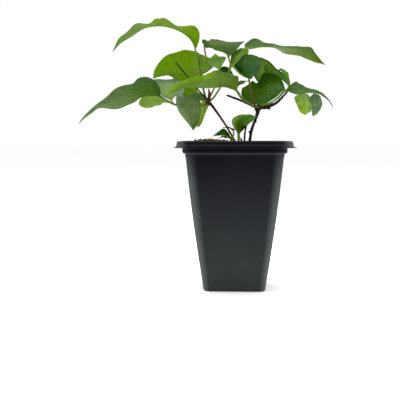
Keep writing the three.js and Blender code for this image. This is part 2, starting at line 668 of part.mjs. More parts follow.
const limbs = (parts, extra = 0) =>
  fuse(parts.map((part) => (part.to ? stalk(part) : limb(part.route, part.radii, { rough: part.rough, extra }))));

// The space that a stem or shoot takes in the soil, with air round it.
const socket = (parts) =>
  fuse(parts.filter((part) => part.route[0][2] < SOIL.level).map((part) =>
    limb(part.route, part.radii, { rough: part.rough, extra: CLEARANCE })));

const sockets = [...Object.values(STEMS), ...Object.values(SHOOTS)].map(socket);
place('pot', pot(), 'pot_plastic');
place('soil', soil(sockets), 'soil');

const stemFinish = { stem_left: 'stem_red', stem_right: 'stem_bark', stem_thin: 'stem_bark' };
const around = {};
for (const [name, parts] of Object.entries(STEMS)) {
  place(name, limbs(parts), stemFinish[name]);
  around[name] = limbs(parts, CLEARANCE);
}
for (const [name, parts] of Object.entries(SHOOTS)) {
  const blades = parts.map((part) => blade(part.to));
  place(name, mainBody(fuse([limbs(parts), ...blades])), 'shoot_green');
}

const leafFinish = {
  leaf_upper_left: 'leaf_bright',
  leaf_centre: 'leaf_mid',
  leaf_funnel: 'leaf_mid',
  leaf_lower_left: 'leaf_mid',
  leaf_young: 'leaf_bright',
  leaf_hanging: 'leaf_bright',
  leaf_front: 'leaf_mid',
  leaf_dark: 'leaf_dark',
  leaf_right: 'leaf_dark',
};
for (const [name, leaf] of Object.entries(LEAVES)) place(name, leafSpray(leaf, around[leaf.on]), leafFinish[name]);

export default group;
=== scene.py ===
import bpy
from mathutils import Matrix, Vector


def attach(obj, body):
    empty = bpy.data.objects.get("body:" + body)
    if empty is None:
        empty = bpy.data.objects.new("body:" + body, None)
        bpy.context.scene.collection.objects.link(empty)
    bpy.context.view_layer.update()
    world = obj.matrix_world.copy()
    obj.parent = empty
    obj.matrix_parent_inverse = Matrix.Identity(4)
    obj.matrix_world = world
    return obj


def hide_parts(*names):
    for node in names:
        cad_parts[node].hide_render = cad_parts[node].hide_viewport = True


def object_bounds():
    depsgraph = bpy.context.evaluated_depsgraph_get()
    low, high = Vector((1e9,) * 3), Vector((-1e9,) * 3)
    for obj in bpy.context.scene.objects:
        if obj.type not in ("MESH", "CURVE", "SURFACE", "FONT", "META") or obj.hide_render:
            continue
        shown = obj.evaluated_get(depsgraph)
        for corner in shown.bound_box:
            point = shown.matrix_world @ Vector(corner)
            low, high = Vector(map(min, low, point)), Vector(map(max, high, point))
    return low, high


bl_info = {
    "name": "Potted clematis",
    "version": (1, 0, 0),
    "blender": (4, 5, 0),
    "location": "3D View > Sidebar > Clematis",
    "description": "A young clematis in a square nursery pot, with leaves, stems, shoots and soil",
    "category": "Add Mesh",
}

import math
import random

import bmesh
import bpy
from bpy.props import FloatProperty, FloatVectorProperty, IntProperty, PointerProperty
from mathutils import Matrix, Vector, noise

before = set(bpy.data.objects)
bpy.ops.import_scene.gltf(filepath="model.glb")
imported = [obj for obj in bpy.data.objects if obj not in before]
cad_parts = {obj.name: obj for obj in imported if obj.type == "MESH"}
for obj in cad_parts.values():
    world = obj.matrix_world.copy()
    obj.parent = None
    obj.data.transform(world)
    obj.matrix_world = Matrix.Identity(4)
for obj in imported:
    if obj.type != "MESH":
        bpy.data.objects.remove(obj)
SOLID_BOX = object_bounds()
MM = 0.001
WALL = 1.3  # the pot's wall, in millimetres
PAINT = 0.72  # a surface looks brighter than its paint, because lamps add to the light all round
VEIL = 0.008  # the white light that a satin surface adds to its paint


# ---------------------------------------------------------------- settings


def colour_setting(name, description, default):
    return FloatVectorProperty(
        name=name, description=description, default=default, size=3, min=0, max=1, subtype="COLOR"
    )


def length_setting(name, description, default):
    return FloatProperty(
        name=name, description=description, default=default, min=0,
        subtype="DISTANCE", unit="LENGTH",
    )


def share_setting(name, description, default):
    return FloatProperty(
        name=name, description=description, default=default, min=0, max=1, subtype="FACTOR"
    )


def power_setting(name, description, default):
    return FloatProperty(
        name=name, description=description, default=default, min=0, subtype="POWER", unit="POWER"
    )


class PotSettings(bpy.types.PropertyGroup):
    plastic: colour_setting("Plastic", "Colour of the moulded plastic", (0.0022, 0.0026, 0.0042))
    # The dust's colour also paints the highlights on the pot's corners and ledge, and its paler
    # foot.
    dust: colour_setting("Dust", "Colour of the dust and dried splashes", (0.085, 0.095, 0.096))
    roughness: share_setting("Roughness", "How dull the plastic is", 0.36)
    wall: length_setting("Wall", "Thickness of the pot's wall", WALL * MM)


class SoilSettings(bpy.types.PropertyGroup):
    peat: colour_setting("Peat", "Colour of the moist peat", (0.034, 0.022, 0.012))
    bark: colour_setting("Bark", "Colour of the dry bark and fibres on top", (0.32, 0.215, 0.1))
    chips: IntProperty(name="Chips", description="Number of bark chips on top", default=420, min=0)
    fibres: IntProperty(name="Fibres", description="Number of fibres on top", default=120, min=0)


class StemSettings(bpy.types.PropertyGroup):
    young: colour_setting("Young bark", "Colour of the smooth reddish stem", (0.062, 0.026, 0.02))
    old: colour_setting("Old bark", "Colour of the rough dark stem", (0.028, 0.018, 0.013))
    ridge: length_setting("Ridges", "Height of the ridges along old bark", 0.32 * MM)


class LeafSettings(bpy.types.PropertyGroup):
    thickness: length_setting("Thickness", "Thickness of a leaf blade", 0.3 * MM)
    groove: length_setting("Veins", "Depth of the main veins on a blade's upper side", 0.16 * MM)
    vein: FloatProperty(
        name="Vein shade", description="How much lighter the veins are", default=1.3, min=0
    )
    glow: share_setting("Glow", "How far light soaks through a blade", 0.15)


class StageSettings(bpy.types.PropertyGroup):
    floor: colour_setting("Floor", "Colour of the floor", (0.99, 0.99, 0.99))
    sky: FloatProperty(
        name="Surround", description="Strength of the light from all round", default=1.0, min=0
    )
    overhead: power_setting("Overhead", "Power of the lamp above", 9)
    sides: power_setting("Sides", "Power of the lamp at each side", 3.5)


# ---------------------------------------------------------------- the plant, in millimetres

# A blade hangs on its midrib: `rib` holds four points that it passes through, from base to tip.
# `faces` says where its upper side looks, from base to tip. `fold` lifts its halves to a V, in
# degrees, and `right_fold` lifts the right half alone. `lobe` is how far the foot reaches back
# beside the stalk, and `wave` how high the edge ripples. `left_mm` and `right_mm` are the widths of
# its sides, evenly spaced from base to tip. A blade without them has a plain outline: `half` is
# half its width, `point` how drawn out the tip is, and `right` narrows its right side. `tones` are
# the colours along the middle from base to tip, `left_tones` and `right_tones` those near each
# edge, and `right_rim` those of a thin line along the right edge itself.
# The tones hold painted light: a blade lit from behind is painted a bright yellow-green glow, and a
# blade or side in the shade of others is painted darker.
USUAL = {
    "half": 10, "fold": [8], "right_fold": None, "point": 1.4, "right": [1], "lobe": 0.5,
    "wave": 0.4, "left_mm": None, "right_mm": None,
    "left_tones": None, "right_tones": None, "right_rim": None,
}
BELLY = 0.28  # where a plain blade is widest, from base to tip
FOOT_SHARE = 0.5  # a plain blade's width at its foot, as a share of the widest
WAVES = 2  # ripples along an edge
RIGHT_SHIFT = 1.3  # radians by which the right edge's ripples run ahead of the left's
EDGE_TONE = (0.1, 0.65)  # where the edge's colour begins, and the share over which it comes in
RIM_TONE = (0.82, 0.12)

BLADES = {
    # upper left
    # its bright tones paint the glow of its underside, lit from behind
    "arching": {
        "rib": [(-31, 3, 188), (-42, -2, 199.5), (-65.5, -10, 202), (-93, -16, 182.5)],
        "faces": [(0.1, 0.1, 1), (0.1, 0.1, 1), (0.1, 0, 1), (0, -0.6, 0.8), (0, -0.7, 0.7)],
        "fold": [52, 52, 45, 15, 8], "lobe": 1,
        "right_mm": [3.4, 7.4, 10, 9, 5, 3.5, 6, 8.8, 3.6, 7.8, 4.6, 4.2, 0],
        "left_mm": [1.8, 5, 9.2, 10, 6, 4, 6.5, 10, 3.2, 1.4, 3.8, 0.8, 0],
        "tones": [(104, 138, 24), (112, 145, 32), (126, 154, 60), (118, 146, 56), (106, 134, 68),
            (98, 132, 62)],
    },
    # its bright yellow tones paint the glow of a blade lit from behind
    "disc": {
        "rib": [(-27, 8, 166.5), (-39, 14, 168.5), (-53.5, 22, 170.5), (-67, 30, 165.5)],
        "faces": [(0, 0.75, 0.6)], "fold": [35], "right_fold": [-20], "lobe": 14, "wave": 0.5,
        "right_mm": [8, 8.5, 9, 9, 9, 9.5, 9.2, 6.6, 3.8, 3, 2.6, 1.7, 0],
        "left_mm": [17.2, 17.5, 18.1, 18.7, 18.7, 18.4, 16.4, 14.6, 13.3, 10.6, 7.4, 4.4, 0],
        "tones": [(106, 136, 50), (98, 132, 8), (96, 136, 2)],
        "right_tones": [(96, 132, 24), (88, 126, 6), (88, 128, 2), (98, 138, 14)],
    },
    "top_left": {
        "rib": [(-24.4, 16, 191), (-20.5, 20, 192), (-15.5, 25, 192.5), (-9, 30, 191.5)],
        "faces": [(0, -0.9, 0.3)], "fold": [5], "lobe": 1,
        "right_mm": [3.6, 3.4, 3.3, 3.5, 4, 4.2, 4.2, 4.2, 4.2, 4.2, 4, 3, 0],
        "left_mm": [4.8, 4.8, 4.2, 3.7, 3.4, 3.4, 3.4, 3.4, 3.5, 3.6, 3.5, 2.5, 0],
        "tones": [(72, 108, 44), (86, 112, 66), (88, 114, 72)],
        "left_tones": [(68, 102, 48), (86, 110, 72)],
    },
    # centre
    "top_middle": {
        "rib": [(-5, -8, 179), (-6, -2, 184), (-7, 6, 189.5), (-6.5, 14, 193)],
        "faces": [(0, -0.7, 0.6)], "wave": 0.5,
        "right_mm": [0.8, 2, 3.5, 5.4, 7.4, 9.4, 11.1, 12.7, 13.8, 14.5, 14.5, 13, 0],
        "left_mm": [0.8, 0.9, 1.4, 2.5, 5, 9.5, 11.5, 12.5, 12.8, 13, 13, 12, 0],
        "tones": [(100, 134, 38), (54, 80, 14), (60, 86, 30), (68, 94, 46), (72, 96, 58)],
        "right_tones": [(62, 90, 16), (66, 90, 40), (70, 92, 48)],
        "left_tones": [(62, 90, 14), (70, 96, 24), (76, 98, 64)],
    },
    "top_right": {
        "rib": [(8, -4, 187), (25.5, -12, 187.5), (47, -22, 182), (66, -30, 171)],
        "faces": [(0, -0.9, 0.8), (0, -0.8, 0.9), (0.1, -0.85, 0.7), (0.3, -1, 0.5)], "fold": [5],
        "lobe": 1, "right_mm": [3.5, 5, 4.5, 3.5, 3, 3.5, 6.5, 8, 6, 4.5, 4.5, 3.5, 0],
        "left_mm": [3.5, 7, 6.5, 3, 2.5, 1.5, 1, 2.5, 4.5, 7.5, 4, 1.5, 0],
        "tones": [(80, 106, 58), (84, 110, 64), (102, 124, 80), (96, 122, 62), (78, 110, 12)],
        "right_tones": [(92, 122, 36), (92, 122, 42), (110, 132, 86), (98, 126, 58), (84, 118, 14)],
        "left_tones": [(62, 92, 40), (82, 108, 62), (76, 104, 64), (80, 106, 52), (68, 110, 8)],
    },
    "bright_back": {
        "rib": [(-4, -3, 173), (0.5, 2, 177.5), (6, 8, 182.5), (11, 13, 185.5)],
        "faces": [(0, 0.95, 0.3)], "fold": [5], "wave": 0.5,
        "right_mm": [0.5, 1, 2.3, 4.6, 6, 6, 5.8, 5.5, 5.3, 4.4, 3.3, 1.9, 0],
        "left_mm": [0.8, 2.8, 4, 4.5, 4.6, 4.1, 3.6, 3.3, 3.3, 3.3, 3.2, 2, 0],
        "tones": [(104, 134, 52), (118, 146, 66), (120, 148, 40)],
        "right_tones": [(42, 68, 10), (66, 98, 14), (92, 124, 24)],
        "left_tones": [(44, 74, 16), (84, 114, 20)],
    },
    # beside the left stem
    "funnel": {
        "rib": [(-12, -6, 169.5), (-13, -4.6, 173.5), (-14, -3.2, 177), (-15.5, -1.6, 182.5)],
        "faces": [(0, -0.85, 0.4)], "fold": [10],
        "right_mm": [0.8, 1.3, 2, 3.1, 4.2, 5.2, 6.3, 7, 7.2, 6.4, 2.6, 1.2, 0],
        "left_mm": [0.8, 1.7, 3, 4.4, 5.2, 6, 6.7, 7.1, 7.2, 7.2, 5.8, 2.5, 0],
        "tones": [(132, 168, 64), (124, 162, 80), (116, 154, 82), (102, 138, 52), (130, 184, 50)],
    },
    "tucked_round": {
        "rib": [(-11.5, 2, 167), (-8.5, 6, 169), (-5, 10, 169.5), (-1, 12, 166)],
        "faces": [(0, -0.9, 0.4)], "half": 5.2, "lobe": 1, "tones": [(50, 82, 8)],
    },
    # lower left
    "low": {
        "rib": [(-56.5, -22, 149), (-72.5, -32, 150.3), (-94.5, -43, 143), (-112.5, -52, 127.5)],
        "faces": [(-0.1, -0.75, 0.65), (-0.1, -0.85, 0.6), (-0.1, -0.8, 0.6)], "fold": [5],
        "wave": 0.5, "right_mm": [8.5, 15, 16.5, 15.5, 10, 9.5, 8.5, 5.5, 3.5, 2.5, 1.5, 1, 0],
        "left_mm": [2, 3, 4, 4.5, 5.5, 9, 10.5, 12, 9, 2, 1.5, 1, 0],
        "tones": [(56, 88, 6), (70, 102, 36), (88, 112, 62), (104, 126, 82), (120, 142, 102)],
        "right_tones": [(62, 92, 38), (66, 94, 50), (86, 110, 62), (100, 122, 78), (120, 142, 102)],
    },
    "low_under": {
        "rib": [(-53.5, -14, 145), (-61.5, -8, 145.5), (-68.5, -4, 144.5), (-74.5, -2, 143)],
        "faces": [(0.1, 0.7, 0.6)], "half": 7, "fold": [10], "point": 0.42,
        "right": [0.3, 0.7, 1, 1], "lobe": 1, "wave": 0.5, "tones": [(118, 147, 62)],
    },
    "pale": {
        "rib": [(-49, -12, 146.5), (-51.5, -8, 153.5), (-53.5, -2, 160.5), (-54, 8, 162.5)],
        "faces": [(0, -0.9, 0.2), (0, -0.8, 0.5), (0, -0.2, 1)], "fold": [5],
        "right_mm": [2, 5, 8, 9.5, 10.4, 11, 11, 10.5, 10, 10, 9, 6, 0],
        "left_mm": [1, 2.5, 5, 6.3, 7.3, 8.1, 9, 10, 11, 11, 9, 6, 0],
        "tones": [(144, 168, 98), (150, 172, 110), (130, 154, 100), (78, 106, 76), (70, 98, 72)],
        "right_tones": [(136, 160, 96), (118, 144, 92), (98, 126, 84), (72, 100, 74), (68, 96, 70)],
    },
    "hanging": {
        "rib": [(-36.5, -2, 148), (-34.8, -7, 139), (-32.8, -11, 131), (-32.2, -12, 123)],
        "faces": [(0, -0.95, 0.2)], "lobe": 1.5, "wave": 0.6,
        "right_mm": [4, 7.5, 9.3, 9.2, 8.7, 8, 7.1, 6, 4.9, 3.7, 2.5, 1.2, 0],
        "left_mm": [5, 8, 9.3, 9.4, 9.2, 8.8, 8.2, 7.3, 6.2, 5, 3.6, 2, 0],
        "tones": [(122, 148, 94), (126, 150, 98), (112, 138, 78), (94, 128, 52)],
        "right_tones": [(138, 160, 110), (142, 162, 112), (122, 146, 88), (102, 134, 62)],
        "left_tones": [(116, 142, 84), (122, 146, 94), (96, 122, 64), (86, 116, 46)],
    },
    "hanging_back": {
        "rib": [(-22.5, 2, 144.5), (-24.5, 4, 138.5), (-26.5, 6, 131.5), (-29.5, 7, 125.5)],
        "faces": [(0, 0.9, 0.2)], "fold": [5], "lobe": 1, "wave": 0.5,
        "right_mm": [2, 2.6, 2.6, 2.3, 2, 1.8, 1.5, 1.4, 1.3, 1.2, 1.1, 0.8, 0],
        "left_mm": [3, 4, 4, 4, 4, 4, 4, 4, 3.8, 3.2, 2.6, 1.8, 0],
        "tones": [(182, 214, 86), (172, 206, 80), (158, 194, 42)],
    },
    "young_pale": {
        "rib": [(-44.5, -13, 148.5), (-42.5, -16, 151), (-41, -17, 153), (-39.5, -18, 155.5)],
        "faces": [(0, -0.9, 0.4)],
        "right_mm": [1, 2, 2.6, 2.8, 3, 3.3, 3.5, 3.6, 3.3, 3, 2.8, 2.1, 0],
        "left_mm": [2.7, 3.5, 3.6, 3.7, 3.8, 3.7, 3.5, 3.3, 3.1, 2.8, 2.3, 1.4, 0],
        "tones": [(124, 146, 108)], "left_tones": [(120, 144, 94)],
    },
    "young_round": {
        "rib": [(-39.5, -13, 143.2), (-41, -16, 144.6), (-43, -17.5, 146.2), (-45, -18.5, 147.6)],
        "faces": [(0, -0.9, 0.4)], "half": 5, "lobe": 1, "tones": [(116, 138, 100)],
    },
    "young_bright": {
        "rib": [(-27.5, 3, 147.5), (-31, 1, 151), (-36, 0, 153), (-42.5, -1, 151.5)],
        "faces": [(0, 0.7, 0.7)], "wave": 0.5,
        "right_mm": [1, 2, 3.2, 4.4, 5.4, 6, 6.4, 6.7, 6.8, 6.7, 6.4, 5.2, 0],
        "left_mm": [0.7, 1, 2, 3, 4, 5, 5.3, 5.6, 5.8, 6, 6, 4.6, 0],
        "tones": [(128, 164, 44), (120, 158, 34)],
    },
    "young_dark": {
        "rib": [(-26.5, -5, 147), (-29.5, -8.2, 148.4), (-32.3, -10.4, 149.2), (-35, -12, 148.8)],
        "faces": [(0, -0.8, 0.5)], "half": 2.9, "lobe": 1, "wave": 0.5, "tones": [(84, 112, 74)],
    },
    "young_light": {
        "rib": [(-23.2, 1.2, 146.4), (-26, 2, 148), (-29.4, 3.2, 150.2), (-33, 3.6, 153)],
        "faces": [(0, -0.95, 0.3)],
        "right_mm": [1, 1.8, 2.5, 3, 3.2, 3.3, 3.3, 3.2, 3, 2.6, 2.2, 1.4, 0],
        "left_mm": [0.4, 0.6, 0.9, 1.2, 1.6, 2.2, 2.8, 3.2, 3.2, 2.9, 2.4, 1.5, 0],
        "tones": [(146, 168, 86), (134, 160, 88), (108, 138, 74)],
        "left_tones": [(134, 160, 72), (100, 130, 66)],
    },
    # front
    "front": {
        "rib": [(1.5, -14, 154), (-16, -22, 158), (-33.5, -30, 157), (-50.5, -36, 147.5)],
        "faces": [(0.2, -0.9, 0.5), (0, -0.65, 0.8), (0, -0.7, 0.7), (-0.3, -0.8, 0.6)],
        "fold": [5, 5, 15, 5],
        "right_mm": [11.6, 11, 13, 16.4, 13.2, 8.7, 6.5, 5.5, 5, 4.9, 5.2, 4.2, 0],
        "left_mm": [1, 1.5, 2, 3.4, 5.8, 7.6, 8.8, 9.4, 6.8, 2.6, 1, 1, 0],
        "tones": [(92, 118, 48), (92, 120, 48), (96, 126, 52), (92, 124, 44), (104, 138, 44),
            (120, 154, 60)],
        "right_tones": [(94, 120, 44), (94, 122, 46), (104, 144, 20), (108, 146, 30),
            (118, 150, 54), (128, 160, 66)],
        "left_tones": [(88, 116, 44), (88, 116, 46), (92, 122, 46), (84, 116, 38), (96, 128, 40),
            (110, 146, 52)],
    },
    "tucked_thin": {
        "rib": [(2, -8, 157.4), (4.4, -2, 159.8), (7.2, 4, 161.2), (10.5, 10, 162.2)],
        "faces": [(0, -0.4, 0.9)], "half": 3, "lobe": 1, "tones": [(70, 98, 30)],
    },
    # right
    # its dark tones paint it in shade, darkest towards its right side; a lighter line runs along
    # the right edge
    "drooping": {
        "rib": [(9, -24, 178.8), (9.2, -33, 172), (10.6, -37, 165.2), (12.6, -35.5, 160.6)],
        "faces": [(0, -0.9, 0.5)], "fold": [10], "lobe": 1, "wave": 0.6,
        "right_mm": [2.5, 3.8, 5.2, 7, 9.4, 11.8, 11.2, 9.6, 7.8, 5.8, 3.8, 1.9, 0],
        "left_mm": [3.5, 5.8, 7.8, 9.3, 10.4, 10.8, 10.6, 9.6, 8.2, 6.6, 5, 3.2, 0],
        "tones": [(42, 76, 12), (54, 88, 42), (58, 94, 60), (60, 98, 66)],
        "right_tones": [(42, 74, 10), (30, 56, 4), (24, 50, 0), (48, 82, 12), (56, 90, 38)],
        "left_tones": [(44, 78, 16), (64, 94, 52), (62, 94, 58), (56, 92, 54)],
        "right_rim": [(80, 112, 24), (104, 140, 36), (108, 142, 44), (86, 122, 46), (60, 94, 50)],
    },
    "over": {
        "rib": [(42, -6, 156.5), (34.5, -2, 167), (23, 0, 174.5), (19.3, -7.5, 157)],
        "faces": [(0.4, 0.6, 0.5), (0, 0.6, 0.6), (-0.3, 0.75, 0.4), (-0.2, 0.95, 0.05)],
        "right_mm": [1, 1.5, 2, 2.8, 4.6, 7, 9, 12.6, 13, 10.6, 7.6, 6, 0],
        "left_mm": [1, 1.8, 3.3, 2.8, 1.8, 1, 1.3, 2.3, 3.8, 7.4, 6.8, 4.8, 0],
        "tones": [(112, 148, 92), (104, 142, 84), (106, 146, 64), (110, 150, 50), (108, 144, 54),
            (106, 138, 58), (96, 132, 42)],
        "left_tones": [(100, 138, 80), (92, 130, 70), (70, 104, 40), (56, 90, 26), (66, 98, 42),
            (84, 116, 60)],
    },
    "over_small": {
        "rib": [(42, 4, 160), (41, 8, 165.5), (38.5, 12, 169.5), (34.5, 14, 171)],
        "faces": [(0.5, -0.5, 0.6)], "wave": 0.5,
        "right_mm": [0.8, 1, 1.2, 1.4, 1.7, 2, 2.2, 2.6, 2.9, 3, 3, 2.4, 0],
        "left_mm": [2, 3.5, 5, 5, 5, 5, 5, 5, 5, 5, 5, 4, 0],
        "tones": [(86, 136, 34), (64, 112, 20)],
    },
    "broad": {
        "rib": [(37.5, -11, 154), (28, -13, 152.5), (16, -14, 151), (5.5, -10, 155.5)],
        "faces": [(0.1, -0.95, 0.15)], "wave": 0.7,
        "right_mm": [2, 8.6, 12, 13.8, 14.6, 14.8, 13.4, 9.2, 7.8, 8.6, 9.2, 8.4, 0],
        "left_mm": [0.3, 1.4, 3.2, 4.8, 6.1, 7.3, 8.4, 8.8, 8.8, 7.8, 6.2, 4.6, 0],
        "tones": [(84, 114, 70), (78, 108, 58), (66, 96, 40), (62, 92, 28), (72, 98, 28)],
        "right_tones": [(52, 84, 16), (42, 70, 6), (40, 66, 4), (46, 76, 6), (62, 90, 18)],
        "left_tones": [(68, 102, 46), (66, 100, 42), (62, 94, 36), (58, 88, 26), (56, 86, 20)],
    },
    "drip_tip": {
        "rib": [(40.5, -8, 154), (52, -14, 153.5), (64, -20, 150.2), (73, -22, 140.5)],
        "faces": [(0.1, -0.7, 0.8)], "fold": [5], "lobe": 1,
        "right_mm": [2.5, 4, 5.5, 7, 6, 5, 4, 2.5, 1, 0.7, 0.6, 0.4, 0],
        "left_mm": [5.5, 10, 8, 6, 4.2, 3, 2.3, 2, 1.5, 1, 0.8, 0.5, 0],
        "tones": [(70, 102, 50), (82, 110, 66), (92, 116, 78), (96, 120, 82)],
        "right_tones": [(64, 114, 40), (70, 112, 46), (92, 122, 80), (80, 108, 62)],
        "left_tones": [(66, 98, 46), (70, 100, 52), (76, 104, 60), (80, 108, 62)],
    },
    "hanging_bright": {
        "rib": [(52, 1, 151.5), (54, 3, 146.5), (55, 4, 141), (55, 4, 135)], "faces": [(0, 1, 0.2)],
        "wave": 0.6, "right_mm": [1.6, 3, 4.3, 4.9, 5.2, 5.4, 5.5, 5.6, 5.6, 5.5, 4.6, 1.5, 0],
        "left_mm": [6.2, 7, 7, 7, 6.9, 6.6, 6.3, 6, 5.6, 5.2, 4.7, 3.4, 0],
        "tones": [(148, 180, 96), (160, 190, 92), (160, 192, 56)],
        "right_tones": [(126, 160, 92), (134, 168, 86)],
        "left_tones": [(146, 180, 84), (160, 190, 72), (150, 186, 30)],
    },
    "hanging_dark": {
        "rib": [(60, -10, 150), (62, -12, 145), (61.5, -12, 139), (59.5, -10, 133.5)],
        "faces": [(0.2, -0.9, 0.2)], "fold": [12], "wave": 0.5,
        "right_mm": [2.5, 4.8, 5.6, 5.8, 5.7, 5.3, 4.7, 4, 3.5, 2.8, 2.1, 1.3, 0],
        "left_mm": [1.5, 2.8, 3.5, 3.9, 4.3, 4.5, 4.3, 3.7, 3.2, 2.6, 2.1, 0.9, 0],
        "tones": [(104, 126, 90), (106, 132, 96)], "right_tones": [(86, 114, 74), (102, 128, 92)],
    },
    # young shoots
    # the cupped blade is painted lit on its left side and in shade in the middle and on its right
    "spoon": {
        "rib": [(3, -14, 121), (2.5, -17, 126), (5.5, -17, 131), (16.5, -12, 133)],
        "faces": [(0.1, -0.95, 0.2)], "fold": [12],
        "right_mm": [1.5, 3, 4.4, 5.4, 6, 6.4, 6.5, 6.6, 6.4, 5.9, 4.7, 3.4, 0],
        "left_mm": [1, 1.4, 2, 3, 4, 5.3, 6, 5, 4.2, 3.2, 2.5, 2.1, 0],
        "tones": [(112, 146, 44), (82, 110, 28), (70, 100, 18), (76, 112, 42), (84, 130, 64)],
        "right_tones": [(72, 100, 26), (54, 80, 12), (72, 102, 32), (84, 132, 62)],
        "left_tones": [(124, 148, 70), (136, 158, 88), (108, 140, 54), (82, 130, 62)],
    },
    "shoot_tip": {
        "rib": [(-3.5, -8, 117.5), (-6.5, -12, 120.5), (-10.5, -15, 121.5), (-16.5, -18, 118.5)],
        "faces": [(0, -0.8, 0.6)], "wave": 0.3,
        "right_mm": [0.6, 1.3, 2.1, 2.7, 3.1, 3.4, 3.4, 2.8, 1.9, 1.2, 0.7, 0.4, 0],
        "left_mm": [0.6, 1.3, 1.9, 2.5, 3, 3.4, 3.8, 4, 3.8, 3.3, 2.4, 1.4, 0],
        "tones": [(62, 100, 20), (52, 90, 6), (48, 84, 10)],
    },
    "shoot_side": {
        "rib": [(-1, -6, 123.5), (-3.5, -8, 125), (-6, -10, 125.5), (-9.5, -12, 125)],
        "faces": [(0, -0.3, 1)], "half": 3, "lobe": 1, "wave": 0.3, "tones": [(44, 76, 16)],
    },
    "shoot_bud": {
        "rib": [(-6.5, -9.5, 117.6), (-8.5, -10.5, 118.4), (-10, -11.5, 118), (-12, -12.5, 116.4)],
        "faces": [(0, -0.4, 0.9)], "half": 1.3, "wave": 0.2, "tones": [(44, 66, 26)],
    },
}

STEMS = {
    "stem_left": [
        {"route": [(3.5, 0, 103), (0.5, 0, 113.5), (-8.4, 0, 129), (-17.3, 0, 141.5),
                   (-20.8, 0, 145.5)], "radii": [0.85, 0.78, 0.78, 1.05, 1.5]},
        {"route": [(-19.2, 0, 142.6), (-20.8, 0, 145.5), (-22, 0, 148)], "radii": [1.2, 1.9, 1.1]},
        {"route": [(-20.6, 0, 145.5), (-32.8, -2, 159.5), (-46.5, -4, 176.5)],
         "radii": [0.66, 0.55, 0.46], "tones": [(46, 36, 28), (38, 34, 22), (34, 32, 16)]},
        {"route": [(-20.5, -0.4, 146), (-19.9, -0.8, 151), (-20.5, -0.6, 155.5)],
         "radii": [1.3, 1.25, 0.35], "tones": [(74, 48, 40), (112, 62, 40), (130, 82, 50)]},
    ],
    "stem_right": [
        {"route": [(8.4, 0, 102), (11.2, 0, 113.5), (12.4, 0, 119.5), (13.3, 0, 124),
                   (15, 0, 129.4), (17.2, 0, 134.8), (18.4, 0, 141)],
         "radii": [1.2, 1.15, 1.05, 1.15, 1.05, 1.3, 1.9]},
        {"route": [(16.5, 0, 138), (18.6, 0, 141.4), (24, -0.5, 141.8), (26.5, -0.5, 141.6)],
         "radii": [1.7, 2.6, 2.2, 1.2]},
        {"route": [(12.6, 0, 121), (11.4, -0.8, 122), (10.8, -1, 122.4)], "radii": [1, 0.85, 0.5]},
        {"route": [(15, 0, 129), (16.2, -0.8, 130), (16.8, -1, 130.3)], "radii": [1, 0.9, 0.5]},
        {"route": [(24.5, 0, 141.8), (26.6, -0.6, 140.6), (27.6, -0.6, 140.2)],
         "radii": [1.2, 1.9, 1.1]},
        {"route": [(22, 0, 141), (27, 0.3, 142.2), (31.2, 0.5, 143.9), (36, 1, 148),
                   (41.2, 1.5, 153.6)], "radii": [1.7, 1.4, 1.05, 0.8, 0.6]},
        {"route": [(18, 0, 140), (6, -2, 145.5), (-6.5, -4, 150.3)], "radii": [1, 0.82, 0.68]},
    ],
    "stem_thin": [
        {"route": [(7.5, 4, 102), (7.5, 4, 113.5), (8, 4, 121.5), (9.5, 4, 130)],
         "radii": [0.7, 0.7, 0.65, 0.6]},
        {"route": [(7.5, 4, 112), (5.4, 2.6, 114.5), (4.8, 2.4, 117)], "radii": [0.7, 0.6, 0.5]},
    ],
}

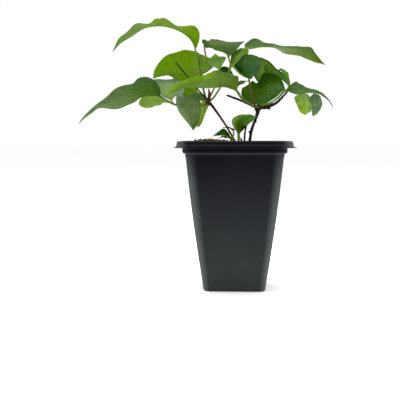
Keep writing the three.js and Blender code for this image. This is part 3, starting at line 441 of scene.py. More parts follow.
# A stalk's `tones` run from its foot to its blade.
GREEN = [(96, 110, 46), (112, 140, 58), (122, 152, 62)]
BROWN = [(60, 52, 30), (72, 44, 34), (86, 56, 36), (84, 88, 36)]
TAN = [(96, 100, 50), (160, 108, 62), (170, 116, 66)]
SPRAYS = {
    "shoot_spoon": [
        {"route": [(2.8, -14, 103), (3, -14, 113.5), (3, -14, 118.5)], "radii": [1.2, 1.1, 1.1],
         "to": "spoon", "tones": [(84, 120, 30), (112, 158, 40), (96, 140, 40)]},
    ],
    "shoot_young": [
        {"route": [(-3.5, -6, 103), (-2, -6, 113.5), (-3.5, -7.5, 118)], "radii": [1, 1, 0.7],
         "to": "shoot_tip"},
        {"route": [(-2, -6, 113.5), (-1.5, -6, 118), (-0.8, -6, 121)], "radii": [0.9, 0.7, 0.6],
         "to": "shoot_side"},
        {"route": [(-2.6, -6.4, 115), (-4.4, -8, 117.2)], "radii": [0.5, 0.4], "to": "shoot_bud"},
    ],
    "leaf_upper_left": [
        {"route": [(-21.6, 0, 146.5), (-23.2, 3, 149.5), (-25, 5, 156), (-27, 8, 164),
                   (-29.5, 6, 178)], "radii": [0.9, 0.9, 0.9, 0.85, 0.7], "to": "arching"},
        {"route": [(-26.4, 7, 161), (-26.5, 7.5, 164)], "radii": [0.8, 0.8], "to": "disc"},
        {"route": [(-27.3, 7.8, 166), (-24, 10.5, 172), (-23.2, 12, 181)],
         "radii": [0.8, 0.75, 0.7], "to": "top_left", "tones": TAN},
    ],
    "leaf_centre": [
        {"route": [(-21.4, 0, 145), (-17.5, -1.5, 147.5), (-11, -6, 156.5), (-5.2, -5, 166.5),
                   (-3.4, -7, 172.4)], "radii": [0.85, 0.8, 0.75, 0.75, 0.75], "to": "top_middle"},
        {"route": [(-3.8, -6, 170.8), (2.5, -5.5, 179)], "radii": [0.65, 0.6], "to": "top_right"},
        {"route": [(-5, -5.4, 169.5), (-4.4, -4, 171.5)], "radii": [0.6, 0.5], "to": "bright_back"},
    ],
    "leaf_funnel": [
        {"route": [(-21.5, 0, 147), (-19.5, 1.5, 149.5), (-16, 2, 156.5), (-13, -3, 165)],
         "radii": [0.75, 0.7, 0.7, 0.65], "to": "funnel"},
        {"route": [(-14.6, 0.2, 160), (-13.3, 1.2, 162)], "radii": [0.7, 0.6],
         "to": "tucked_round"},
    ],
    "leaf_lower_left": [
        {"route": [(-21, 0, 143.5), (-24.5, -6, 142.5), (-31, -13.5, 142), (-39.5, -17.5, 141.5),
                   (-46, -18, 142.5), (-51.5, -20, 145.5)],
         "radii": [0.75, 0.65, 0.62, 0.66, 0.72, 0.75], "to": "low",
         "tones": [(96, 84, 44), (92, 104, 40), (96, 120, 44), (108, 134, 54)]},
        {"route": [(-46.5, -18.2, 142.8), (-49.5, -17, 144)], "radii": [0.7, 0.65],
         "to": "low_under"},
        {"route": [(-46, -18, 142.6), (-47.5, -15, 144)], "radii": [0.7, 0.65], "to": "pale"},
        {"route": [(-33, -14.5, 142), (-35.5, -9, 145), (-36.4, -4, 148)],
         "radii": [0.6, 0.55, 0.5], "to": "hanging"},
        {"route": [(-44, -17.8, 142), (-44.4, -15.5, 145.5)], "radii": [0.6, 0.5],
         "to": "young_pale"},
        {"route": [(-40, -17.5, 141.6), (-39.6, -15, 142.6)], "radii": [0.6, 0.5],
         "to": "young_round"},
    ],
    "leaf_young": [
        {"route": [(-21.8, 0.5, 146), (-25, 2, 146.8)], "radii": [0.75, 0.7], "to": "young_bright"},
        {"route": [(-22.6, -0.5, 146.6), (-23.4, -0.4, 146)], "radii": [0.65, 0.6],
         "to": "young_dark", "tones": [(120, 140, 60), (140, 160, 74)]},
        {"route": [(-21.4, 0.5, 146), (-22.3, 0.9, 146.3)], "radii": [0.7, 0.6],
         "to": "young_light"},
    ],
    "leaf_hanging": [
        {"route": [(-21.3, 0, 144.5), (-22, 3, 145.4)], "radii": [0.75, 0.7], "to": "hanging_back"},
    ],
    "leaf_front": [
        {"route": [(18.6, 0, 140.8), (15.8, -3, 141.9), (11.2, -6.2, 144.2), (4.9, -10.6, 148),
                   (1.5, -13.8, 152.8)], "radii": [1.2, 1.15, 1.1, 1, 0.95], "to": "front",
         "tones": [(112, 140, 70), (104, 146, 52), (112, 148, 54)]},
        {"route": [(2.4, -12.8, 151.6), (1.2, -10, 154.5)], "radii": [0.6, 0.5],
         "to": "tucked_thin"},
    ],
    "leaf_dark": [
        {"route": [(19, 0, 141.5), (17.5, -8, 141), (14.5, -20, 143), (12.3, -22.5, 150),
                   (10.6, -24, 160), (9.3, -22.6, 171), (9, -22.8, 176.6)],
         "radii": [0.85, 0.8, 0.75, 0.7, 0.7, 0.65, 0.65], "to": "drooping", "tones": BROWN},
    ],
    "leaf_right": [
        {"route": [(18.5, 0, 141.6), (21, -3.4, 142.6), (27.4, -5, 144.2), (33.6, -7, 148.4),
                   (38.3, -8, 153.2)], "radii": [0.9, 0.85, 0.8, 0.8, 0.85], "to": "drip_tip",
         "tones": [(104, 118, 50), (128, 150, 62), (136, 162, 70)]},
        {"route": [(38.8, -8, 153.6), (40.6, -7, 154.6)], "radii": [0.8, 0.8], "to": "over"},
        {"route": [(39.6, -8, 153.8), (42.4, 0, 154.6)], "radii": [0.75, 0.7], "to": "over_small"},
        {"route": [(37.6, -8, 152.8), (39, -9.5, 153.4)], "radii": [0.8, 0.8], "to": "broad"},
        {"route": [(47, -11.5, 154.4), (49.5, -5, 154.2)], "radii": [0.7, 0.6],
         "to": "hanging_bright"},
        {"route": [(56, -16, 153.2), (59, -13, 153.2)], "radii": [0.6, 0.6], "to": "hanging_dark"},
    ],
}


# ---------------------------------------------------------------- small helpers


def lerp(a, b, t):
    return a + (b - a) * t


def clamp(value, low=0.0, high=1.0):
    return max(low, min(high, value))


def smooth(t):
    t = clamp(t)
    return t * t * (3 - 2 * t)


def through(values, t):
    """A smooth value through evenly spaced ones."""
    if len(values) == 1:
        return values[0]
    place = clamp(t) * (len(values) - 1)
    low = min(int(place), len(values) - 2)
    return lerp(values[low], values[low + 1], smooth(place - low))


def flow(values, t):
    """A flowing line through evenly spaced values."""
    place = clamp(t) * (len(values) - 1)
    low = min(int(place), len(values) - 2)
    k = place - low
    before, start, end = values[max(low - 1, 0)], values[low], values[low + 1]
    after = values[min(low + 2, len(values) - 1)]
    rise, fall = (end - before) / 2, (after - start) / 2
    bow = 3 * (end - start) - 2 * rise - fall
    square = 2 * (start - end) + rise + fall
    return start + rise * k + bow * k * k + square * k**3


def bell(distance, width):
    return math.exp(-((distance / width) ** 2))


def linear(colour):
    """The paint for a surface that should look like this colour, given in 0-255 screen values."""
    shades = [((c / 255 + 0.055) / 1.055) ** 2.4 if c > 10 else c / 255 / 12.92 for c in colour]
    return Vector([max(PAINT * (shade - VEIL), 0.001) for shade in shades])


def into_scene(name, build, scale=MM):
    """Turns a bmesh, in millimetres unless told otherwise, into an object of the scene."""
    bmesh.ops.scale(build, vec=(scale, scale, scale), verts=build.verts)
    mesh = bpy.data.meshes.new(name)
    build.to_mesh(mesh)
    build.free()
    thing = bpy.data.objects.new(name, mesh)
    bpy.context.scene.collection.objects.link(thing)
    return thing


def finish_piece(name, build, node, materials, smooth_angle=None):
    """Makes a finished piece that stands for a solid of the frame."""
    piece = into_scene(name, build)
    for material in materials:
        piece.data.materials.append(material)
    piece.data.shade_smooth()
    if smooth_angle is not None:
        piece.data.set_sharp_from_angle(angle=math.radians(smooth_angle))
    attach(piece, "root")
    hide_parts(node)
    return piece


def close(build):
    """Closes the open ends and turns every face outwards."""
    open_edges = [edge for edge in build.edges if edge.is_boundary]
    bmesh.ops.holes_fill(build, edges=open_edges, sides=0)
    bmesh.ops.recalc_face_normals(build, faces=build.faces)


def pour(part, whole):
    """Adds one bmesh to another."""
    mesh = bpy.data.meshes.new("part")
    part.to_mesh(mesh)
    part.free()
    whole.from_mesh(mesh)
    bpy.data.meshes.remove(mesh)


# ---------------------------------------------------------------- materials


class Recipe:
    """One material and the nodes that it is built from."""

    def __init__(self, name, **sockets):
        self.material = bpy.data.materials.new(name)
        self.material.use_nodes = True
        self.tree = self.material.node_tree
        self.shader = self.tree.nodes["Principled BSDF"]
        for socket, value in sockets.items():
            self.shader.inputs[socket.replace("_", " ")].default_value = value

    def add(self, kind, inputs=None, **settings):
        node = self.tree.nodes.new(kind)
        for key, value in settings.items():
            setattr(node, key, value)
        for socket, value in (inputs or {}).items():
            self.feed(node.inputs[socket], value)
        return node

    def feed(self, socket, value):
        if isinstance(value, bpy.types.NodeSocket):
            self.tree.links.new(value, socket)
        else:
            socket.default_value = value

    def math(self, operation, first, second=0.0, third=0.0):
        node = self.add("ShaderNodeMath", {0: first, 1: second, 2: third}, operation=operation)
        return node.outputs[0]

    def away(self, value, place):
        """How far a value is from a place."""
        return self.math("ABSOLUTE", self.math("SUBTRACT", value, place))

    def noise(self, vector, scale, detail=3.0, roughness=0.5):
        inputs = {"Vector": vector, "Scale": scale, "Detail": detail, "Roughness": roughness}
        return self.add("ShaderNodeTexNoise", inputs).outputs["Fac"]

    def band(self, distance, width, height=1.0):
        """`height` where the distance is 0, down to 0 at `width`."""
        return self.spread(distance, 0.0, width, height, 0.0, curve="SMOOTHSTEP")

    def spread(self, value, low, high, to_low=0.0, to_high=1.0, curve="LINEAR"):
        """The value's place between `low` and `high`, carried over to the second pair."""
        limits = {"From Min": low, "From Max": high, "To Min": to_low, "To Max": to_high}
        inputs = {"Value": value, **limits}
        return self.add("ShaderNodeMapRange", inputs, interpolation_type=curve).outputs["Result"]

    def mix(self, factor, first, second, blend="MIX"):
        node = self.add("ShaderNodeMix", data_type="RGBA", blend_type=blend)
        self.feed(node.inputs["Factor"], factor)
        for socket, value in ((node.inputs[6], first), (node.inputs[7], second)):
            if not isinstance(value, bpy.types.NodeSocket):
                value = (*value, 1.0)
            self.feed(socket, value)
        return node.outputs[2]

    def tinted(self, colour, amount):
        """A colour made brighter or darker by a number."""
        node = self.add("ShaderNodeVectorMath", {0: colour}, operation="SCALE")
        self.feed(node.inputs["Scale"], amount)
        return node.outputs[0]

    def bump(self, height, depth, strength=1.0):
        inputs = {"Strength": strength, "Distance": depth, "Height": height}
        node = self.add("ShaderNodeBump", inputs)
        self.feed(self.shader.inputs["Normal"], node.outputs[0])

    def colour(self, value):
        self.feed(self.shader.inputs["Base Color"], value)

    def roughness(self, value):
        self.feed(self.shader.inputs["Roughness"], value)

    def attribute(self, name):
        return self.add("ShaderNodeAttribute", attribute_name=name).outputs["Color"]

    def uv(self, name):
        return self.add("ShaderNodeUVMap", uv_map=name).outputs[0]

    def place(self):
        return self.add("ShaderNodeTexCoord").outputs["Object"]

    def stretched(self, vector, scale):
        return self.add("ShaderNodeMapping", {"Vector": vector, "Scale": scale}).outputs[0]


MAIN_VEINS = (0.0, 0.34, 0.67)  # where the long veins run, from the midrib to the edge
VEIN_LINES = [(0.05, 1.0), (0.028, 0.75), (0.022, 0.55)]  # the width and strength of each
VEIN_GROOVES = [(0.07, 1), (0.05, 0.8), (0.045, 0.6)]  # the width and depth of each


def leaf_material(settings, under):
    """A blade's upper or under side: three pairs of long veins, rungs between and a fine net."""
    recipe = Recipe(
        "leaf_under" if under else "leaf_upper",
        Subsurface_Weight=settings.glow, Subsurface_Scale=1.2 * MM,
        Subsurface_Radius=(0.5, 1.0, 0.15), Specular_IOR_Level=0.02,
    )
    split = recipe.add("ShaderNodeSeparateXYZ", {0: recipe.uv("blade")})
    along, across = split.outputs[0], split.outputs[1]
    flat = recipe.uv("blade_mm")
    out = recipe.math("ABSOLUTE", recipe.math("MULTIPLY_ADD", across, 2.0, -1.0))
    waver = recipe.math("SUBTRACT", recipe.noise(flat, 9.0, 2.0), 0.5)
    bent = recipe.math("MULTIPLY_ADD", waver, 0.05, out)
    veins = 0.0
    for at, (width, height) in zip(MAIN_VEINS, VEIN_LINES):
        veins = recipe.math("MAXIMUM", veins, recipe.band(recipe.away(bent, at), width, height))
    rungs = recipe.math("MULTIPLY", along, 17.0)
    rungs = recipe.math("MULTIPLY_ADD", out, -5.0, rungs)
    rungs = recipe.math("MULTIPLY_ADD", waver, 2.2, rungs)
    rungs = recipe.band(recipe.away(recipe.math("FRACT", rungs), 0.5), 0.07, 0.35)
    net = recipe.add(
        "ShaderNodeTexVoronoi", {"Vector": flat, "Scale": 8.0}, feature="DISTANCE_TO_EDGE"
    )
    net = recipe.band(net.outputs["Distance"], 0.09, 0.3)
    ribs = recipe.math("MAXIMUM", veins, rungs)
    lines = recipe.math("MAXIMUM", ribs, recipe.math("MULTIPLY", net, 0.3))
    base = recipe.attribute("tint")
    patches = recipe.spread(recipe.noise(flat, 1.6, 4.0), 0.3, 0.7, 0.86, 1.14)
    base = recipe.tinted(base, patches)
    shown = recipe.math("MULTIPLY", lines, 0.8 if under else 0.55)
    recipe.colour(recipe.mix(shown, base, recipe.tinted(base, settings.vein)))
    grain = recipe.noise(flat, 22.0, 2.0)
    dullness = (0.58, 0.74) if under else (0.46, 0.6)
    recipe.roughness(recipe.spread(grain, 0.2, 0.8, *dullness))
    height = recipe.math("MULTIPLY_ADD", net, 0.15, ribs)
    height = recipe.math("MULTIPLY", height, 1.0 if under else -1.0)
    height = recipe.math("MULTIPLY_ADD", grain, 0.06, height)
    recipe.bump(height, 0.1 * MM, 0.5)
    return recipe.material


def stalk_material():
    """Green or brown young growth, finely lined along its length."""
    recipe = Recipe(
        "stalk", Subsurface_Weight=0.1, Subsurface_Scale=1 * MM,
        Subsurface_Radius=(0.5, 1.0, 0.2), Specular_IOR_Level=0.12,
    )
    place = recipe.place()
    patches = recipe.spread(recipe.noise(place, 420.0, 3.0), 0.3, 0.7, 0.8, 1.2)
    recipe.colour(recipe.tinted(recipe.attribute("tint"), patches))
    lines = recipe.noise(recipe.stretched(place, (2600, 2600, 260)), 1.0, 2.0)
    recipe.roughness(recipe.spread(lines, 0.2, 0.8, 0.45, 0.62))
    recipe.bump(lines, 0.08 * MM, 0.6)
    return recipe.material


def bark_material(name, rough):
    """Bark streaked along the stem, with paler flakes and darker hollows."""
    recipe = Recipe(name, Specular_IOR_Level=0.12)
    place = recipe.place()
    colour = recipe.attribute("tint")
    streaks = recipe.noise(recipe.stretched(place, (1400, 1400, 190)), 1.0, 5.0, 0.6)
    flakes = recipe.noise(place, 620.0, 4.0, 0.6)
    shade = recipe.tinted(colour, recipe.spread(streaks, 0.36, 0.62, 0.4, 1.1))
    shown = recipe.spread(flakes, 0.56, 0.74, 0.0, 0.6)
    recipe.colour(recipe.mix(shown, shade, recipe.tinted(colour, 2.8)))
    dullness = (0.82, 0.95) if rough else (0.5, 0.68)
    recipe.roughness(recipe.spread(flakes, 0.3, 0.7, *dullness))
    recipe.bump(recipe.math("ADD", streaks, flakes), (0.35 if rough else 0.12) * MM, 0.8)
    return recipe.material


def pot_material(settings):
    """Satin black plastic: moulded grain, flow streaks, a film of dust, a paler foot, painted
    highlights on the corners and ledge, and painted shade under the lip.
    """
    recipe = Recipe("pot_plastic", Specular_IOR_Level=0.035)
    place = recipe.place()
    grain = recipe.noise(place, 2600.0, 2.0)
    streaks = recipe.noise(recipe.stretched(place, (260, 260, 14)), 1.0, 4.0)
    cloud = recipe.noise(place, 46.0, 4.0, 0.6)
    specks = recipe.noise(place, 900.0, 3.0, 0.7)
    split = recipe.add("ShaderNodeSeparateXYZ", {0: place})
    height = split.outputs[2]
    sides = [recipe.math("ABSOLUTE", split.outputs[axis]) for axis in (0, 1)]
    ledge = POT["shoulder_at"] * MM
    wall = recipe.spread(height, 0, ledge, POT["foot"] * MM, POT["shoulder"] * MM)
    flare = (RIM_STARTS * MM, (RIM_STARTS + 0.3) * MM, 0, RIM_FLARE * MM)
    wall = recipe.math("ADD", wall, recipe.spread(height, *flare))
    # how near a point is to the pot's rounded corners, where highlights are painted below
    corner = recipe.math("DIVIDE", recipe.math("MINIMUM", *sides), wall)
    corner = recipe.spread(recipe.math("MULTIPLY_ADD", cloud, 0.06, corner), 0.82, 1.0)
    # a thin film of dust with specks in it, and the plastic made paler towards the foot
    film = recipe.spread(cloud, 0.42, 0.75, 0.0, 0.04)
    specks = recipe.spread(specks, 0.66, 0.78, 0.0, 0.3)
    dust_and_painted_light = recipe.math("MAXIMUM", film, recipe.math("MULTIPLY", specks, cloud))
    dust_and_painted_light = recipe.math("ADD", dust_and_painted_light, recipe.spread(height, 0.1, 0.02, 0.0, 0.28))
    # painted highlights along the rounded corners of the body and of the rim, in the dust's colour
    corner_highlight = recipe.spread(height, 0.104, 0.085, 0.26, 0.58)
    corner_highlight = recipe.math("ADD", corner_highlight, recipe.spread(height, 0.106, 0.112, 0.0, 0.72))
    dust_and_painted_light = recipe.math("MULTIPLY_ADD", corner, corner_highlight, dust_and_painted_light)
    # a painted highlight along the ledge, a lighter line along the rim's face, and painted shade
    # under the lip, where the dust and the painted highlights are held back to a tenth
    lines = ((ledge + 0.5 * MM, 1.3 * MM, 0.45), (LIP_LINE * MM, 0.7 * MM, 0.22))
    for at, width, strength in lines:
        line = recipe.band(recipe.away(height, at), width, strength)
        dust_and_painted_light = recipe.math("ADD", dust_and_painted_light, line)
    under_lip = recipe.away(height, COLLAR_MIDDLE * MM)
    unshaded_share = recipe.spread(under_lip, 1.5 * MM, 2.0 * MM, 0.1, 1.0)
    dust_and_painted_light = recipe.math("MINIMUM", recipe.math("MULTIPLY", dust_and_painted_light, unshaded_share), 1.0)
    flow_lines = [1.35 * c for c in settings.plastic]
    shade = recipe.mix(recipe.spread(streaks, 0.3, 0.7), settings.plastic, flow_lines)
    recipe.colour(recipe.mix(dust_and_painted_light, shade, settings.dust))
    dull = recipe.math("MULTIPLY_ADD", dust_and_painted_light, 0.3, settings.roughness)
    recipe.roughness(recipe.math("MULTIPLY_ADD", recipe.math("SUBTRACT", streaks, 0.5), 0.12, dull))
    relief = recipe.math("MULTIPLY_ADD", streaks, 0.8, recipe.math("MULTIPLY", grain, 0.5))
    recipe.bump(relief, 0.05 * MM, 0.6)
    return recipe.material


def peat_material(settings):
    """Moist peat: dark crumbs with brown fibres through it."""
    recipe = Recipe("soil_peat", Roughness=0.95, Specular_IOR_Level=0.2)
    place = recipe.place()
    crumbs = recipe.noise(place, 700.0, 6.0, 0.65)
    fibres = recipe.noise(recipe.stretched(place, (300, 1500, 900)), 1.0, 4.0, 0.6)
    brown = [0.45 * c for c in settings.bark]
    shade = recipe.mix(recipe.spread(crumbs, 0.42, 0.66), settings.peat, brown)
    recipe.colour(recipe.mix(recipe.spread(fibres, 0.62, 0.75, 0.0, 0.7), shade, settings.bark))
    recipe.bump(recipe.math("ADD", crumbs, fibres), 0.6 * MM, 0.9)
    return recipe.material


def bits_material(settings):
    """Dry bark chips and fibres, each with its own shade."""
    recipe = Recipe("soil_bits", Roughness=0.9, Specular_IOR_Level=0.25)
    place = recipe.place()
    grain = recipe.noise(recipe.stretched(place, (2200, 700, 1500)), 1.0, 4.0, 0.6)
    recipe.colour(recipe.tinted(recipe.attribute("tint"), recipe.spread(grain, 0.3, 0.7, 0.6, 1.3)))
    recipe.bump(grain, 0.2 * MM, 0.7)
    return recipe.material


# ---------------------------------------------------------------- pot

# Half widths, heights and radii.
POT = {
    "foot": 23.7, "shoulder": 36.6, "shoulder_at": 104.8, "collar": 39.2, "rim": 45.2,
    "rim_at": 110.1, "height": 114.9, "corner": 8.0, "lip_corner": 4.0, "floor": 1.6, "drain": 4.0,
}
CORNER_STEPS = 10
CREASE = 28  # degrees: edges of the pot sharper than this stay sharp
RIM_STARTS = 109.6  # heights on the pot's outside
LIP_LINE = 111.8
COLLAR_MIDDLE = 107.9
RIM_FLARE = 7.5  # how much wider the rim is than the body


def wall_half(z, wall):
    return lerp(POT["foot"], POT["shoulder"], z / POT["shoulder_at"]) - wall


def pot_profile(wall):
    """Half widths and heights: up the outside from the foot, over the rim and down the inside."""
    foot, shoulder, collar, rim = POT["foot"], POT["shoulder"], POT["collar"], POT["rim"]
    ledge, under, top, floor = POT["shoulder_at"], POT["rim_at"], POT["height"], POT["floor"]
    outside = [
        (foot - 1.4, 0), (foot - 0.75, 0.12), (foot - 0.2, 0.5), (foot + 0.08, 1.1),
        (foot + 0.22, 2.0), (lerp(foot, shoulder, 0.25) + 0.6, ledge * 0.25),
        (lerp(foot, shoulder, 0.5) + 1.0, ledge * 0.5),
        (lerp(foot, shoulder, 0.75) + 0.9, ledge * 0.75), (shoulder + 0.2, ledge - 1.9),
        (shoulder + 0.5, ledge - 1.3), (shoulder + 0.65, ledge - 0.5), (shoulder + 0.5, ledge),
        (shoulder + 0.2, ledge + 0.3), (shoulder + 0.6, ledge + 0.5), (collar - 1.3, ledge + 0.7),
        (collar - 0.5, ledge + 1.1), (collar - 0.1, ledge + 1.7), (collar, ledge + 2.4),
        (collar, under - 0.9), (collar + 0.3, under - 0.45), (collar + 1, under - 0.3),
        (rim - 1, under - 0.35), (rim - 0.25, under - 0.3), (rim, under - 0.12),
        (rim - 0.15, under + 0.08), (rim - 0.95, under + 0.28), (rim - 1.6, under + 0.6),
        (rim - 1.95, under + 1.2), (rim - 2.15, under + 2.0), (rim - 2.4, top - 0.85),
        (rim - 2.9, top - 0.3), (rim - 3.6, top - 0.05), (rim - 4.3, top - 0.05),
        (rim - 4.9, top - 0.35),
    ]
    inner = collar - wall
    inside = [
        (inner + 2.4, top - 1.1), (inner + 1.1, under + 1.5), (inner + 0.25, under + 0.8),
        (inner, under - 0.1), (inner, ledge + 2.6), (inner - 0.4, ledge + 1.7),
        (shoulder - wall + 0.3, ledge + 0.7), (shoulder - wall, ledge - 0.3),
        (wall_half(50, wall), 50), (wall_half(3.1, wall), 3.1), (wall_half(2.2, wall) - 0.5, 2.0),
        (wall_half(floor, wall) - 1.6, floor),
    ]
    return outside + inside


def corner_at(half):
    """The corner's radius: it tapers with the body, and sharpens towards the lip's edge."""
    flare = clamp((half - POT["collar"]) / (POT["rim"] - POT["collar"]))
    body_corner = POT["corner"] * min(half, POT["collar"]) / POT["shoulder"]
    return lerp(body_corner, POT["lip_corner"], flare)


def build_pot(settings):
    """Grows the pot from its square foot: each step draws the plate up and out, then down."""
    profile = pot_profile(settings.wall / MM)
    half = profile[0][0]
    build = bmesh.new()
    bmesh.ops.create_grid(build, x_segments=1, y_segments=1, size=half)
    bmesh.ops.bevel(
        build, geom=build.verts[:], offset=corner_at(half), offset_type="OFFSET",
        segments=CORNER_STEPS, profile=0.5, affect="VERTICES", material=-1,
    )
    build.faces.ensure_lookup_table()
    plate = build.faces[0]
    for step, (wide, z) in enumerate(profile[1:]):
        grown = bmesh.ops.extrude_face_region(build, geom=[plate], use_keep_orig=step == 0)
        if step and plate.is_valid:
            bmesh.ops.delete(build, geom=[plate], context="FACES_ONLY")
        plate = next(item for item in grown["geom"] if isinstance(item, bmesh.types.BMFace))
        corner, grown_corner = corner_at(half), corner_at(wide)
        for vertex in plate.verts:
            for axis in (0, 1):
                part = (abs(vertex.co[axis]) - (half - corner)) / corner
                reach = wide - grown_corner + grown_corner * part
                vertex.co[axis] = math.copysign(reach, vertex.co[axis])
            vertex.co.z = z
        half = wide
    bmesh.ops.recalc_face_normals(build, faces=build.faces)
    return build


class CLEMATIS_OT_pot(bpy.types.Operator):
    """Build the square nursery pot with its collar, turned-down rim and drain holes"""

    bl_idname = "clematis.pot"
    bl_label = "Pot"

    def execute(self, context):
        settings = context.scene.clematis_pot
        build, paint = build_pot(settings), pot_material(settings)
        pot = finish_piece("pot_body", build, "pot", [paint], CREASE)
        drill_drains(pot)
        return {"FINISHED"}


def drill_drains(pot):
    """Cuts the four drain holes through the floor."""
    tools = bmesh.new()
    reach = POT["foot"] - 8
    for x in (-reach, reach):
        for y in (-reach, reach):
            bmesh.ops.create_cone(
                tools, cap_ends=True, segments=24, radius1=POT["drain"], radius2=POT["drain"],
                depth=10, matrix=Matrix.Translation((x, y, 0)),
            )
    drills = into_scene("drills", tools)
    cut = pot.modifiers.new("drain_holes", "BOOLEAN")
    cut.operation = "DIFFERENCE"
    cut.solver = "EXACT"
    cut.object = drills
    bpy.context.view_layer.update()
    seen = pot.evaluated_get(bpy.context.evaluated_depsgraph_get())
    carved = bpy.data.meshes.new_from_object(seen)
    pot.modifiers.clear()
    pot.data = carved
    carved.set_sharp_from_angle(angle=math.radians(CREASE))
    bpy.data.objects.remove(drills)


# ---------------------------------------------------------------- soil

SOIL = {
    "level": 110.4, "lump": 0.45, "mound": 4.5, "mound_at": (-19, 2), "mound_width": 17.5,
    "gap": 0.3, "squares": 84, "crumb_scale": 0.55, "crumb": 1.1, "sunk_edge": 1.6,
}
SPREAD = 35.0  # how far from the middle the bits lie
ON_MOUND = 0.4  # the share of the bits that lie on the mound
MOUND_SPREAD = (8, 9)
# Each kind's range of length, width and height, how far it tilts, in radians, and how it bends.
BITS = {
    "chip": {"ranges": ((0.6, 2.2), (0.4, 1.2), (0.25, 0.7)), "tilt": 0.35, "bend": 0},
    "fibre": {"ranges": ((2.2, 5.5), (0.1, 0.2), (0.08, 0.15)), "tilt": 0.22, "bend": 0.12},
}
BIT_CREASE = 40  # degrees: edges of the bits sharper than this stay sharp


def soil_top(x, y):
    lumps = math.sin(x * 0.47 + 1.3) * math.cos(y * 0.41) + 0.7 * math.sin(x * 0.9 - y * 0.73)
    away = math.hypot(x - SOIL["mound_at"][0], y - SOIL["mound_at"][1]) / SOIL["mound_width"]
    return SOIL["level"] + SOIL["lump"] * lumps + SOIL["mound"] * math.exp(-(away**6))


def rounded(x, y, half, corner):
    """Moves a point of a square onto the same square with rounded corners."""
    over_x, over_y = max(abs(x) - (half - corner), 0), max(abs(y) - (half - corner), 0)
    if over_x <= 0 or over_y <= 0:
        return x, y
    pull = max(over_x, over_y) / math.hypot(over_x, over_y)
    inner = half - corner
    return math.copysign(inner + over_x * pull, x), math.copysign(inner + over_y * pull, y)


def build_soil():
    """A crumbly top, drawn down inside the pot's wall to its floor."""
    gap = SOIL["gap"]
    brim = POT["collar"] - WALL - gap
    corner = POT["corner"] * brim / POT["shoulder"]
    build = bmesh.new()
    bmesh.ops.create_grid(build, x_segments=SOIL["squares"], y_segments=SOIL["squares"], size=brim)
    for vertex in build.verts:
        x, y = rounded(vertex.co.x, vertex.co.y, brim, corner)
        edge = smooth((brim - max(abs(x), abs(y))) / 4)
        crumbs = noise.fractal(Vector((x, y, 0)) * SOIL["crumb_scale"], 0.9, 2.1, 5) * SOIL["crumb"]
        sunk = SOIL["sunk_edge"] * (1 - edge)
        vertex.co = (x, y, soil_top(x, y) + crumbs * (0.4 + 0.6 * edge) - sunk)
    above = brim
    below = ((wall_half(105, WALL) - gap, 105.4), (wall_half(4, WALL) - gap, 4))
    for half, z in ((brim, 107.3), *below):
        rim = [edge for edge in build.edges if edge.is_boundary]
        grown = bmesh.ops.extrude_edge_only(build, edges=rim)
        share = half / above
        for vertex in [item for item in grown["geom"] if isinstance(item, bmesh.types.BMVert)]:
            vertex.co = (vertex.co.x * share, vertex.co.y * share, z)
        above = half
    close(build)
    return build


def scatter_bits(settings):
    """Bark chips and fibres that lie on the soil, each a small stretched and broken stone shape."""
    dice = random.Random(11)
    build = bmesh.new()
    tint = build.verts.layers.float_color.new("tint")
    bark = Vector(settings.bark)
    peat = Vector(settings.peat)
    for kind in ["chip"] * settings.chips + ["fibre"] * settings.fibres:
        bit = BITS[kind]
        size = Vector([dice.uniform(*limits) for limits in bit["ranges"]])
        if dice.random() < ON_MOUND:
            x, y = [dice.gauss(*pair) for pair in zip(SOIL["mound_at"], MOUND_SPREAD)]
        else:
            x, y = dice.uniform(-SPREAD, SPREAD), dice.uniform(-SPREAD, SPREAD)
        edge = SPREAD - 0.5
        x, y = rounded(clamp(x, -edge, edge), clamp(y, -edge, edge), edge, POT["corner"])
        spin = Matrix.Rotation(dice.uniform(0, math.tau), 4, "Z")
        lean = Matrix.Rotation(dice.gauss(0, bit["tilt"]), 4, "X")
        lean = lean @ Matrix.Rotation(dice.gauss(0, bit["tilt"]), 4, "Y")
        put = Matrix.Translation((x, y, soil_top(x, y) + size.z * 0.7 + dice.uniform(0, 0.5)))
        made = bmesh.ops.create_icosphere(build, subdivisions=1, radius=1)
        shade = dice.random() ** 1.6
        colour = peat.lerp(bark, 0.25 + 0.75 * shade) * dice.uniform(0.7, 1.15)
        for vertex in made["verts"]:
            rough = Vector([c * dice.uniform(0.7, 1.15) for c in vertex.co])
            bend = bit["bend"] * (rough.x**2) * size.x
            local = Vector((rough.x * size.x, rough.y * size.y, rough.z * size.z - bend))
            vertex.co = put @ spin @ lean @ local
            vertex[tint] = (*colour, 1)
    return build


class CLEMATIS_OT_soil(bpy.types.Operator):
    """Fill the pot with peat, and scatter bark chips and fibres on it"""

    bl_idname = "clematis.soil"
    bl_label = "Soil"

    def execute(self, context):
        settings = context.scene.clematis_soil
        peat, bits = peat_material(settings), bits_material(settings)
        finish_piece("soil_peat", build_soil(), "soil", [peat])
        finish_piece("soil_bits", scatter_bits(settings), "soil", [bits], BIT_CREASE)
        return {"FINISHED"}


# ---------------------------------------------------------------- stems and stalks


def route_curve(route, steps):
    """Points and directions along a smooth curve through the route."""
    points = [Vector(p) for p in route]
    points = [2 * points[0] - points[1], *points, 2 * points[-1] - points[-2]]
    found = []
    for k in range(1, len(points) - 2):
        before, start, end, after = points[k - 1 : k + 3]
        pairs = ((before, start), (start, end), (end, after))
        one, two, three = [max((b - a).length, 1e-6) ** 0.5 for a, b in pairs]
        first = (start - before) / one - (end - before) / (one + two) + (end - start) / two
        last = (end - start) / two - (after - start) / (two + three) + (after - end) / three
        first, last = first * two, last * two
        for step in range(steps + (k == len(points) - 3)):
            t = step / steps
            square = 2 * start - 2 * end + first + last
            bow = -3 * start + 3 * end - 2 * first - last
            spot = start + first * t + bow * t * t + square * t**3
            heading = first + bow * (2 * t) + square * (3 * t * t)
            found.append((spot, heading.normalized()))
    return found


